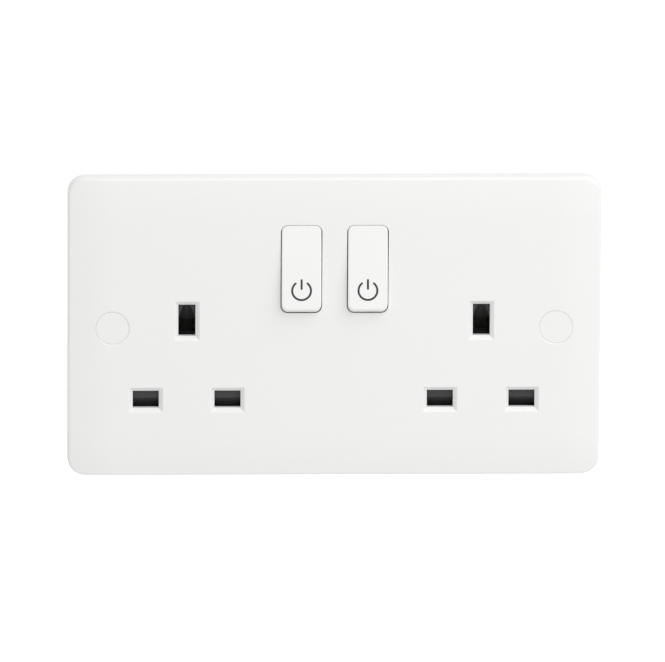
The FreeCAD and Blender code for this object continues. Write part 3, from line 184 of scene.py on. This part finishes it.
class StageSizes(bpy.types.PropertyGroup):
    """Camera, floor, lamp and studio light"""

    distance: length_setting("Camera distance", "From the plate's middle to the camera", 4000)
    azimuth: FloatProperty(
        name="Azimuth",
        description="How far the camera stands to the right of the plate's normal",
        subtype="ANGLE",
        default=math.radians(-2.0),
    )
    elevation: FloatProperty(
        name="Elevation",
        description="How far the camera stands above the plate's normal",
        subtype="ANGLE",
        default=math.radians(15.4),
    )
    roll: FloatProperty(
        name="Roll",
        description="Turn of the camera about its line of sight",
        subtype="ANGLE",
        default=math.radians(0.36),
    )
    view_width: length_setting("View width", "What the photograph's width takes in", 180.56)
    aim_right: length_setting("Aim right", "From the plate's middle to the aim", -0.48, -1.0)
    aim_up: length_setting("Aim up", "From the plate's middle up to the aim", -0.82, -1.0)
    floor_drop: length_setting("Floor", "How far the floor lies below the plate's middle", 200)
    floor_reach: length_setting("Floor reach", "How far the floor runs each way", 30000)
    floor_colour: colour_setting("Floor", "Colour of the plain floor", "#F4F4F4")
    floor_glow: share_setting("Floor glow", "Lifts the lit floor to white for the camera", 0.6)
    studio_light: share_setting("Studio light", "Strength of the even light all round", 0.66)
    lamp_right: length_setting("Lamp right", "How far the lamp stands to the right", 310)
    lamp_front: length_setting("Lamp front", "How far the lamp stands before the plate", 420)
    lamp_up: length_setting("Lamp height", "How far the lamp stands above the middle", 550)
    lamp_size: length_setting("Lamp size", "Side of the square lamp", 800)
    lamp_power: FloatProperty(
        name="Lamp power", description="Power of the lamp", unit="POWER", min=0.0, default=3.5
    )


SETTINGS = {
    "socket_finish": SocketFinish,
    "socket_signs": SignSizes,
    "socket_caps": CapSizes,
    "socket_screws": ScrewSizes,
    "socket_springs": SpringSizes,
    "socket_stage": StageSizes,
}


# Materials


def add_node(tree, kind, values=None, links=None, **settings):
    """Adds a node, sets its properties and its inputs' values, and links its inputs."""
    node = tree.nodes.new(kind)
    for name, value in settings.items():
        setattr(node, name, value)
    for name, value in (values or {}).items():
        node.inputs[name].default_value = value
    for name, source in (links or {}).items():
        tree.links.new(source, node.inputs[name])
    return node


def per_mm(size):
    """Scale of a texture in metres whose features are this many millimetres apart."""
    return 1.0 / (size * MM)


def new_material(name):
    """An empty material with its principled shader and the place on the part, in metres."""
    material = bpy.data.materials.new(name)
    material.use_nodes = True
    tree = material.node_tree
    tree.nodes.clear()
    shader = add_node(tree, "ShaderNodeBsdfPrincipled")
    add_node(tree, "ShaderNodeOutputMaterial", links={"Surface": shader.outputs["BSDF"]})
    place = add_node(tree, "ShaderNodeTexCoord").outputs["Object"]
    return material, tree, shader, place


def mottle(tree, shader, place, colour, feature, amount, scale=(1, 1, 1)):
    """Varies the colour a little, lighter and darker, over features of this size."""
    stretch = add_node(
        tree, "ShaderNodeMapping", values={"Scale": scale}, links={"Vector": place}
    )
    noise = add_node(
        tree,
        "ShaderNodeTexNoise",
        values={"Scale": per_mm(feature), "Detail": 3.0},
        links={"Vector": stretch.outputs["Vector"]},
    )
    ramp = add_node(tree, "ShaderNodeValToRGB", links={"Fac": noise.outputs["Fac"]})
    ramp.color_ramp.elements[0].position = 0.3
    ramp.color_ramp.elements[1].position = 0.7
    ramp.color_ramp.elements[0].color = tuple(c * (1 - amount) for c in colour) + (1,)
    ramp.color_ramp.elements[1].color = tuple(min(1, c * (1 + amount)) for c in colour) + (1,)
    tree.links.new(ramp.outputs["Color"], shader.inputs["Base Color"])
    return noise


def uneven_gloss(tree, shader, place, feature, low, high):
    """Varies the roughness between two values over features of this size."""
    noise = add_node(
        tree,
        "ShaderNodeTexNoise",
        values={"Scale": per_mm(feature), "Detail": 2.0},
        links={"Vector": place},
    )
    spread = add_node(
        tree,
        "ShaderNodeMapRange",
        values={"From Min": 0.3, "From Max": 0.7, "To Min": low, "To Max": high},
        links={"Value": noise.outputs["Fac"]},
    )
    tree.links.new(spread.outputs["Result"], shader.inputs["Roughness"])


def relief(tree, shader, source, depth_mm):
    """Raises and lowers the surface by a pattern, to this depth."""
    bump = add_node(
        tree,
        "ShaderNodeBump",
        values={"Strength": 1.0, "Distance": depth_mm * MM},
        links={"Height": source},
    )
    tree.links.new(bump.outputs["Normal"], shader.inputs["Normal"])


def moulded_urea(name, colour, roughness):
    """Urea-formaldehyde, compression moulded in a polished tool.

    It is hard and dense white, with an even gloss that is softened by a faint flow of the surface,
    like the skin of an orange, which only shows where a light is mirrored.
    """
    material, tree, shader, place = new_material(name)
    mottle(tree, shader, place, colour, feature=30.0, amount=0.003)
    uneven_gloss(
        tree, shader, place, feature=18.0, low=roughness - 0.01, high=roughness + 0.02
    )
    peel = add_node(
        tree,
        "ShaderNodeTexNoise",
        values={"Scale": per_mm(2.5), "Detail": 0.0},
        links={"Vector": place},
    )
    relief(tree, shader, peel.outputs["Fac"], depth_mm=0.002)
    shader.inputs["IOR"].default_value = 1.54
    return material


def sparked_nylon(name, colour, roughness, gloss=0.5):
    """Nylon or polypropylene, injection moulded in a spark-eroded tool.

    The fine pits of the tool give a dull, slightly speckled surface with soft highlights. Real
    pits are under 0.1 mm apart. They are drawn 0.35 mm apart, as coarse as they need to be to show.
    """
    material, tree, shader, place = new_material(name)
    mottle(tree, shader, place, colour, feature=8.0, amount=0.012)
    uneven_gloss(tree, shader, place, feature=5.0, low=roughness - 0.03, high=roughness + 0.05)
    pits = add_node(
        tree,
        "ShaderNodeTexNoise",
        values={"Scale": per_mm(0.35), "Detail": 2.0, "Roughness": 0.6},
        links={"Vector": place},
    )
    relief(tree, shader, pits.outputs["Fac"], depth_mm=0.02)
    shader.inputs["IOR"].default_value = 1.53
    shader.inputs["Specular IOR Level"].default_value = gloss
    return material


def rolled_brass(name, colour):
    """Brass strip, rolled and blanked, and drawn brass bar.

    The rolling leaves fine streaks along the strip, and the air a faint brown bloom, which is not
    drawn. Real streaks are about 0.1 mm apart. They are drawn 0.5 mm apart, as coarse as they need
    to be to show.
    """
    material, tree, shader, place = new_material(name)
    streaks = mottle(
        tree, shader, place, colour, feature=0.5, amount=0.10, scale=(0.05, 1, 1)
    )
    uneven_gloss(tree, shader, place, feature=4.0, low=0.26, high=0.42)
    relief(tree, shader, streaks.outputs["Fac"], depth_mm=0.004)
    shader.inputs["Metallic"].default_value = 1.0
    return material


def plated_steel(name, colour, low, high, feature=1.2):
    """Steel, cold headed or drawn, and bright zinc plated.

    The plating is silvery and slightly cloudy, with blurred reflections. The clouds are about a
    millimetre across on a screw, and smaller on thinner stock.
    """
    material, tree, shader, place = new_material(name)
    cloud = mottle(tree, shader, place, colour, feature, amount=0.08)
    uneven_gloss(tree, shader, place, feature * 2, low, high)
    relief(tree, shader, cloud.outputs["Fac"], depth_mm=0.003)
    shader.inputs["Metallic"].default_value = 1.0
    return material


def printed_ink(name, colour):
    """Pad-printed ink.

    It is a thin dull film, a little uneven where the pad let go. The real unevenness is finer than
    0.1 mm. It is drawn 0.3 mm apart, as coarse as it needs to be to show.
    """
    material, tree, shader, place = new_material(name)
    mottle(tree, shader, place, colour, feature=0.3, amount=0.08)
    uneven_gloss(tree, shader, place, feature=0.6, low=0.45, high=0.60)
    return material


def seen_directly(tree):
    """1 where the camera, a mirror image or a view through glass sees the surface, else 0."""
    path = add_node(tree, "ShaderNodeLightPath")
    total = path.outputs["Is Camera Ray"]
    for ray in ("Is Glossy Ray", "Is Transmission Ray"):
        total = add_node(
            tree,
            "ShaderNodeMath",
            links={0: total, 1: path.outputs[ray]},
            operation="MAXIMUM",
        ).outputs["Value"]
    return total


def plain_floor(name, colour, glow):
    """Matt white board. Its glow, for the camera alone, takes the lit floor up to white."""
    material, tree, shader, place = new_material(name)
    mottle(tree, shader, place, colour, feature=60.0, amount=0.004)
    shader.inputs["Roughness"].default_value = 0.9
    shader.inputs["Specular IOR Level"].default_value = 0.0
    shown = add_node(
        tree,
        "ShaderNodeMath",
        values={1: glow},
        links={0: seen_directly(tree)},
        operation="MULTIPLY",
    )
    tree.links.new(shown.outputs["Value"], shader.inputs["Emission Strength"])
    shader.inputs["Emission Color"].default_value = (1, 1, 1, 1)
    return material


def finish_nodes(material, *names):
    """Gives CAD nodes their finish."""
    for name in names:
        node = frame["nodes"][name]
        node.data.materials.clear()
        node.data.materials.append(material)


def both(word):
    """The names of a pair of pieces, left and right."""
    return [f"{word}_{hand}" for hand in HANDS]


# Meshes


def new_piece(name, body, material, slot, *parts, replaced=()):
    """A mesh object in the row frame from (points, faces) parts, riding on a CAD body."""
    mesh = bpy.data.meshes.new(name)
    points, faces = [], []
    for part_points, part_faces in parts:
        first = len(points)
        points += [tuple(point) for point in part_points]
        faces += [tuple(first + n for n in face) for face in part_faces]
    mesh.from_pydata(points, [], faces)
    solid = bmesh.new()
    solid.from_mesh(mesh)
    bmesh.ops.remove_doubles(solid, verts=solid.verts, dist=WELD)
    bmesh.ops.recalc_face_normals(solid, faces=solid.faces)
    solid.to_mesh(mesh)
    solid.free()
    mesh.materials.append(material)
    piece = bpy.data.objects.new(name, mesh)
    bpy.context.scene.collection.objects.link(piece)
    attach(piece, body)
    if replaced:
        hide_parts(*replaced)
    return piece


def smooth(piece, degrees=30):
    """Shades curved surfaces smooth and leaves the edges that are sharper than this."""
    piece.data.shade_smooth()
    piece.data.set_sharp_from_angle(angle=math.radians(degrees))


def lofted(rings, closed=False):
    """Points and faces of a skin over rings of equally many points, with flat or joined ends."""
    count = len(rings[0])
    points = [point for ring in rings for point in ring]
    faces = []
    pairs = list(zip(range(len(rings)), range(1, len(rings))))
    if closed:
        pairs.append((len(rings) - 1, 0))
    for low, high in pairs:
        for n in range(count):
            after = (n + 1) % count
            faces.append(
                (low * count + n, low * count + after, high * count + after, high * count + n)
            )
    if not closed:
        faces.append(tuple(reversed(range(count))))
        faces.append(tuple((len(rings) - 1) * count + n for n in range(count)))
    return points, faces


def rounded_line(path, width, ends=8):
    """The outline of a line of this width along flat points, with half-round ends."""
    half = width / 2
    left, right = [], []
    for n, here in enumerate(path):
        before, after = path[max(n - 1, 0)], path[min(n + 1, len(path) - 1)]
        along = Vector((after[0] - before[0], after[1] - before[1])).normalized()
        aside = Vector((-along.y, along.x)) * half
        left.append(Vector(here) + aside)
        right.append(Vector(here) - aside)
    outline = list(left)
    for end, start in ((path[-1], left[-1]), (path[0], right[0])):
        arm = start - Vector(end)
        for n in range(1, ends):
            turned = arm.copy()
            turned.rotate(Matrix.Rotation(-math.pi * n / ends, 2))
            outline.append(Vector(end) + turned)
        if end == path[-1]:
            outline += list(reversed(right))
    return outline


# Operators


class TWINSOCKET_OT_mouldings(bpy.types.Operator):
    """Finishes the plate, the base and the caps, and puts the lip round each cap"""

    bl_idname = "twinsocket.mouldings"
    bl_label = "Finish plate, caps and base"

    def execute(self, context):
        finish = context.scene.socket_finish
        plate = moulded_urea("White moulded urea", finish.plate_colour, finish.plate_roughness)
        finish_nodes(plate, "front_plate")
        cap = moulded_urea("White moulded cap", finish.cap_colour, finish.plate_roughness)
        finish_nodes(cap, *both("screw_cap"))
        for hand in HANDS:
            self.make_lip(context.scene.socket_caps, hand, cap)
        base = sparked_nylon("Off-white moulded nylon", finish.base_colour, roughness=0.5)
        finish_nodes(base, "rear_housing")
        return {"FINISHED"}

    def make_lip(self, sizes, hand, material):
        """A ring bedded in the cap's wall, whose face falls away from near the cap's own face."""
        low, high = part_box(f"screw_cap_{hand}")
        x, z = (low.x + high.x) / 2, (low.z + high.z) / 2
        wall = (high.x - low.x) / 2
        inside = wall - sizes.lip_reach
        profile = (
            (inside, low.y + sizes.lip_drop / 4),
            (wall + sizes.lip_reach, low.y + sizes.lip_drop),
            (wall + sizes.lip_reach, low.y + sizes.lip_depth),
            (inside, low.y + sizes.lip_depth),
        )
        rings = []
        steps = 128
        for n in range(steps):
            angle = 2 * math.pi * n / steps
            across, up = math.cos(angle), math.sin(angle)
            rings.append([(x + radius * across, y, z + radius * up) for radius, y in profile])
        lip = new_piece(
            f"screw_cap_lip_{hand}", "fixed_parts", material, "cap", lofted(rings, closed=True)
        )
        smooth(lip)


class TWINSOCKET_OT_rockers(bpy.types.Operator):
    """Finishes the two rockers and prints a power sign on each"""

    bl_idname = "twinsocket.rockers"
    bl_label = "Finish rockers and signs"

    def execute(self, context):
        finish = context.scene.socket_finish
        # This white carries painted light: it is a little lighter than the plate's, for faces that
        # tilt up towards the lamp.
        white = moulded_urea("White moulded rocker", finish.rocker_colour_with_painted_light, finish.rocker_roughness)
        finish_nodes(white, *both("rocker"))
        ink = printed_ink("Grey printed ink", finish.print_colour)
        for hand in HANDS:
            self.print_sign(context.scene.socket_signs, hand, ink)
        return {"FINISHED"}

    def print_sign(self, sizes, hand, ink):
        """A ring that is open at the top and a bar in the opening, as one film of ink."""
        face, half_height = rocker_outline(hand)
        place = rocker_pivot(hand) @ Matrix.Translation((0, -face, 0))
        ring_middle = Vector((0, sizes.height - half_height))
        ring = []
        steps = 64
        for n in range(steps + 1):
            angle = math.pi / 2 + sizes.gap + (2 * math.pi - 2 * sizes.gap) * n / steps
            ring.append(ring_middle + sizes.radius * Vector((math.cos(angle), math.sin(angle))))
        bar = [ring_middle + Vector((0, sizes.bar_low)), ring_middle + Vector((0, sizes.bar_high))]
        films = []
        for path in (ring, bar):
            outline = rounded_line([tuple(point) for point in path], sizes.stroke)
            back = [place @ Vector((x, 0.0, z)) for x, z in outline]
            front = [place @ Vector((x, -sizes.film, z)) for x, z in outline]
            films.append(film_between(back, front))
        new_piece(f"power_sign_{hand}", f"rocker_{hand}", ink, "print", *films)


def film_between(back, front):
    """A thin closed film: its outline at the back and at the front, filled across."""
    count = len(back)
    points = back + front
    faces = [tuple(range(count)), tuple(reversed(range(count, 2 * count)))]
    for n in range(count):
        after = (n + 1) % count
        faces.append((n, count + n, count + after, after))
    return points, faces


def rocker_pivot(hand):
    """The rocker's own frame: its pivot, turned with the rocker, which rests at one end."""
    joint = JOINTS[f"rocker_tilt_{hand}"]
    tilt = -math.radians(sum(joint["range_deg"]) / 2)
    return Matrix.Translation(Vector(joint["pos_m"])) @ Matrix.Rotation(tilt, 4, "X")


def rocker_outline(hand):
    """How far the rocker's face stands before its pivot, and half of the face's height."""
    inward = rocker_pivot(hand).inverted()
    points = [inward @ vertex.co for vertex in frame["nodes"][f"rocker_{hand}"].data.vertices]
    face = min(point.y for point in points)
    edge_depth = 1.0 * MM
    on_edge = [point.z for point in points if point.y < face + edge_depth]
    return -face, (max(on_edge) - min(on_edge)) / 2


class TWINSOCKET_OT_shutters(bpy.types.Operator):
    """Finishes the black shutters and the trays that they slide in"""

    bl_idname = "twinsocket.shutters"
    bl_label = "Finish shutters"

    def execute(self, context):
        finish = context.scene.socket_finish
        black = finish.shutter_colour
        shutter = sparked_nylon("Black moulded nylon", black, roughness=0.5, gloss=0.32)
        finish_nodes(shutter, *both("shutter"))
        tray = sparked_nylon("Black moulded tray nylon", finish.tray_colour, roughness=0.55)
        finish_nodes(tray, *both("shutter_frame"))
        plunger = sparked_nylon("Natural moulded acetal", finish.plunger_colour, roughness=0.4)
        finish_nodes(plunger, *both("plunger"))
        return {"FINISHED"}


class TWINSOCKET_OT_conductors(bpy.types.Operator):
    """Finishes the brass strips and terminals and the silver-faced contacts"""

    bl_idname = "twinsocket.conductors"
    bl_label = "Finish brass and contacts"

    def execute(self, context):
        finish = context.scene.socket_finish
        brass = rolled_brass("Rolled brass", finish.brass_colour)
        strips = ("live_bar", "neutral_bar", "earth_bar", *both("live_clip"), *both("contact_arm"))
        blocks = ("live_terminal", "neutral_terminal", *both("earth_terminal"))
        finish_nodes(brass, *strips, *blocks)
        facing = finish.silver_colour
        silver = plated_steel("Silver contact facing", facing, low=0.22, high=0.34, feature=0.6)
        finish_nodes(silver, *both("moving_contact"), *both("fixed_contact"))
        return {"FINISHED"}


class TWINSOCKET_OT_screws(bpy.types.Operator):
    """Finishes all screws and cuts the threads of the two fixing screws"""

    bl_idname = "twinsocket.screws"
    bl_label = "Finish screws"

    def execute(self, context):
        finish = context.scene.socket_finish
        zinc = plated_steel("Zinc-plated steel", finish.zinc_colour, low=0.24, high=0.38)
        finish_nodes(zinc, "terminal_screws", "housing_screws", *both("fixing_screw"))
        for hand in HANDS:
            self.cut_thread(context.scene.socket_screws, hand, zinc)
        return {"FINISHED"}

    def cut_thread(self, sizes, hand, zinc):
        """A sleeve of thread over the plain shank, from behind the head to the pointed end."""
        low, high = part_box(f"fixing_screw_{hand}")
        x, z = (low.x + high.x) / 2, (low.z + high.z) / 2
        vertices = frame["nodes"][f"fixing_screw_{hand}"].data.vertices
        shank = [vertex.co for vertex in vertices if vertex.co.y > SHANK_FROM]
        root = max(math.hypot(co.x - x, co.z - z) for co in shank) + sizes.root
        start, end = sizes.start, high.y - sizes.tip
        rows_a_turn, around = 8, 28
        rows = int((end - start) / sizes.pitch * rows_a_turn)
        rings = []
        for row in range(rows + 1):
            y = start + (end - start) * row / rows
            ring = []
            for n in range(around):
                angle = 2 * math.pi * n / around
                phase = ((y - start) / sizes.pitch - n / around) % 1.0
                rise = 1 - abs(2 * phase - 1)
                run_out = min(1, (y - start) / sizes.pitch, (end - y) / (1.5 * sizes.pitch))
                reach = root + sizes.height * rise * run_out
                ring.append((x + reach * math.cos(angle), y, z + reach * math.sin(angle)))
            rings.append(ring)
        thread = new_piece(
            f"fixing_screw_thread_{hand}", "fixed_parts", zinc, "screw", lofted(rings)
        )
        smooth(thread, degrees=50)


class TWINSOCKET_OT_springs(bpy.types.Operator):
    """Winds the four springs from round wire, with closed ends"""

    bl_idname = "twinsocket.springs"
    bl_label = "Wind springs"

    def execute(self, context):
        colour = context.scene.socket_finish.wire_colour
        wire = plated_steel("Drawn spring wire", colour, low=0.30, high=0.45, feature=0.4)
        sizes = context.scene.socket_springs
        for hand in HANDS:
            self.wind_shutter_spring(sizes, hand, wire)
            self.wind_plunger_spring(sizes, hand, wire)
        return {"FINISHED"}

    def wind_shutter_spring(self, sizes, hand, wire):
        """Its upper end stays in the tray, and the rising shutter presses it together."""
        node = f"shutter_spring_{hand}"
        low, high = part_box(node)
        x, y, length = (low.x + high.x) / 2, (low.y + high.y) / 2, high.z - low.z
        foot = Matrix.Translation((x, y, low.z))
        skin = self.wind(sizes, foot, length, (high.x - low.x) / 2, sizes.shutter_turns)
        name = f"shutter_spring_coil_{hand}"
        coil = new_piece(name, "fixed_parts", wire, "spring", skin, replaced=(node,))
        smooth(coil, degrees=60)
        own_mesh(coil)

    def wind_plunger_spring(self, sizes, hand, wire):
        """It lies behind the rocker's face, in line with the plunger, and rides with the rocker."""
        node = f"plunger_spring_{hand}"
        pivot = rocker_pivot(hand)
        inward = pivot.inverted()
        points = [inward @ vertex.co for vertex in frame["nodes"][node].data.vertices]
        front, back = min(point.y for point in points), max(point.y for point in points)
        outer = max(math.hypot(point.x, point.z) for point in points)
        foot = pivot @ Matrix.Translation((0, front, 0)) @ Matrix.Rotation(-math.pi / 2, 4, "X")
        skin = self.wind(sizes, foot, back - front, outer, sizes.plunger_turns)
        name = f"plunger_spring_coil_{hand}"
        coil = new_piece(name, f"rocker_{hand}", wire, "spring", skin, replaced=(node,))
        smooth(coil, degrees=60)

    def wind(self, sizes, foot, length, outer, turns):
        """A compression spring along the foot's own Z, whose end turns lie close together."""
        wire_radius = sizes.wire_radius
        radius = outer - wire_radius
        steps_a_turn, around = 24, 8
        steps = turns * steps_a_turn
        rings = []
        for step in range(steps + 1):
            share = step / steps
            angle = 2 * math.pi * turns * share
            rise = self.climb(share, turns, sizes.end_rise)
            height = wire_radius + (length - 2 * wire_radius) * rise
            centre = Vector((radius * math.cos(angle), radius * math.sin(angle), height))
            out = Vector((math.cos(angle), math.sin(angle), 0))
            ring = []
            for n in range(around):
                turn = 2 * math.pi * n / around
                aside = math.cos(turn) * out + math.sin(turn) * Vector((0, 0, 1))
                ring.append(foot @ (centre + wire_radius * aside))
            rings.append(ring)
        return lofted(rings)

    def climb(self, share, turns, end_rise):
        """Share of the height reached after a share of the wire, slow at both closed ends."""
        end = 1.0 / turns
        if share < end:
            return share * end_rise
        if share > 1 - end:
            return 1 - (1 - share) * end_rise
        speed = (1 - 2 * end * end_rise) / (1 - 2 * end)
        return end * end_rise + (share - end) * speed


class TWINSOCKET_OT_stage(bpy.types.Operator):
    """Makes the floor, the studio light, the lamp and the camera"""

    bl_idname = "twinsocket.stage"
    bl_label = "Set the stage"

    def execute(self, context):
        sizes = context.scene.socket_stage
        self.make_floor(sizes)
        self.make_world(context.scene, sizes)
        self.make_lamp(sizes)
        self.make_camera(context.scene, sizes)
        context.scene.view_settings.view_transform = "Standard"
        return {"FINISHED"}

    def make_floor(self, sizes):
        """A plain board under the part."""
        mesh = bpy.data.meshes.new("floor")
        reach = sizes.floor_reach
        corners = [(-reach, -reach), (reach, -reach), (reach, reach), (-reach, reach)]
        mesh.from_pydata([(x, y, -sizes.floor_drop) for x, y in corners], [], [(0, 1, 2, 3)])
        board = plain_floor("Matt white board", sizes.floor_colour, sizes.floor_glow)
        mesh.materials.append(board)
        floor = bpy.data.objects.new("floor", mesh)
        bpy.context.scene.collection.objects.link(floor)

    def make_world(self, scene, sizes):
        """Even white light all round, and a white ground where it is seen."""
        world = bpy.data.worlds.new("studio")
        scene.world = world
        world.use_nodes = True
        tree = world.node_tree
        tree.nodes.clear()
        strength = add_node(
            tree,
            "ShaderNodeMapRange",
            values={"To Min": sizes.studio_light, "To Max": 1.0},
            links={"Value": seen_directly(tree)},
        )
        background = add_node(
            tree,
            "ShaderNodeBackground",
            values={"Color": (1, 1, 1, 1)},
            links={"Strength": strength.outputs["Result"]},
        )
        add_node(
            tree, "ShaderNodeOutputWorld", links={"Surface": background.outputs["Background"]}
        )

    def make_lamp(self, sizes):
        """A broad lamp near the plate, high up and to the right."""
        light = bpy.data.lights.new("key", "AREA")
        light.shape = "SQUARE"
        light.size = sizes.lamp_size
        light.energy = sizes.lamp_power
        place = Vector((sizes.lamp_right, -sizes.lamp_front, sizes.lamp_up))
        lamp = bpy.data.objects.new("key", light)
        lamp.location = place
        lamp.rotation_mode = "QUATERNION"
        lamp.rotation_quaternion = (-place).to_track_quat("-Z", "Y")
        lamp.visible_camera = False
        bpy.context.scene.collection.objects.link(lamp)

    def make_camera(self, scene, sizes):
        """The photograph's long lens: it looks at a point just off the plate's middle."""
        lens_data = bpy.data.cameras.new("camera")
        lens_data.sensor_width = 36.0
        lens_data.lens = lens_data.sensor_width * sizes.distance / sizes.view_width
        lens_data.clip_start = 0.1
        lens_data.clip_end = 200.0
        camera = bpy.data.objects.new("camera", lens_data)
        scene.collection.objects.link(camera)
        flat = math.cos(sizes.elevation)
        back = Vector(
            (
                math.sin(sizes.azimuth) * flat,
                -math.cos(sizes.azimuth) * flat,
                math.sin(sizes.elevation),
            )
        )
        turned = (-back).to_track_quat("-Z", "Y").to_matrix() @ Matrix.Rotation(sizes.roll, 3, "Z")
        right, up = turned.col[0], turned.col[1]
        aim = FACE_MIDDLE + right * sizes.aim_right + up * sizes.aim_up
        camera.matrix_world = Matrix.Translation(aim + back * sizes.distance) @ turned.to_4x4()
        scene.camera = camera


class TWINSOCKET_PT_panel(bpy.types.Panel):
    """Lists the settings and the steps"""

    bl_label = "Twin Switched Socket"
    bl_idname = "TWINSOCKET_PT_panel"
    bl_space_type = "VIEW_3D"
    bl_region_type = "UI"
    bl_category = "Socket"

    def draw(self, context):
        for name, group in SETTINGS.items():
            box = self.layout.box()
            for prop in group.__annotations__:
                box.prop(getattr(context.scene, name), prop)
        for operator in OPERATORS:
            self.layout.operator(operator.bl_idname)


OPERATORS = (
    TWINSOCKET_OT_mouldings,
    TWINSOCKET_OT_rockers,
    TWINSOCKET_OT_shutters,
    TWINSOCKET_OT_conductors,
    TWINSOCKET_OT_screws,
    TWINSOCKET_OT_springs,
    TWINSOCKET_OT_stage,
)
CLASSES = (*SETTINGS.values(), *OPERATORS, TWINSOCKET_PT_panel)


def register():
    for cls in CLASSES:
        bpy.utils.register_class(cls)
    for name, group in SETTINGS.items():
        setattr(bpy.types.Scene, name, PointerProperty(type=group))


def unregister():
    for name in SETTINGS:
        delattr(bpy.types.Scene, name)
    for cls in reversed(CLASSES):
        bpy.utils.unregister_class(cls)


def main():
    register()
    for operator in OPERATORS:
        group, name = operator.bl_idname.split(".")
        getattr(getattr(bpy.ops, group), name)()


if __name__ == "__main__":
    main()
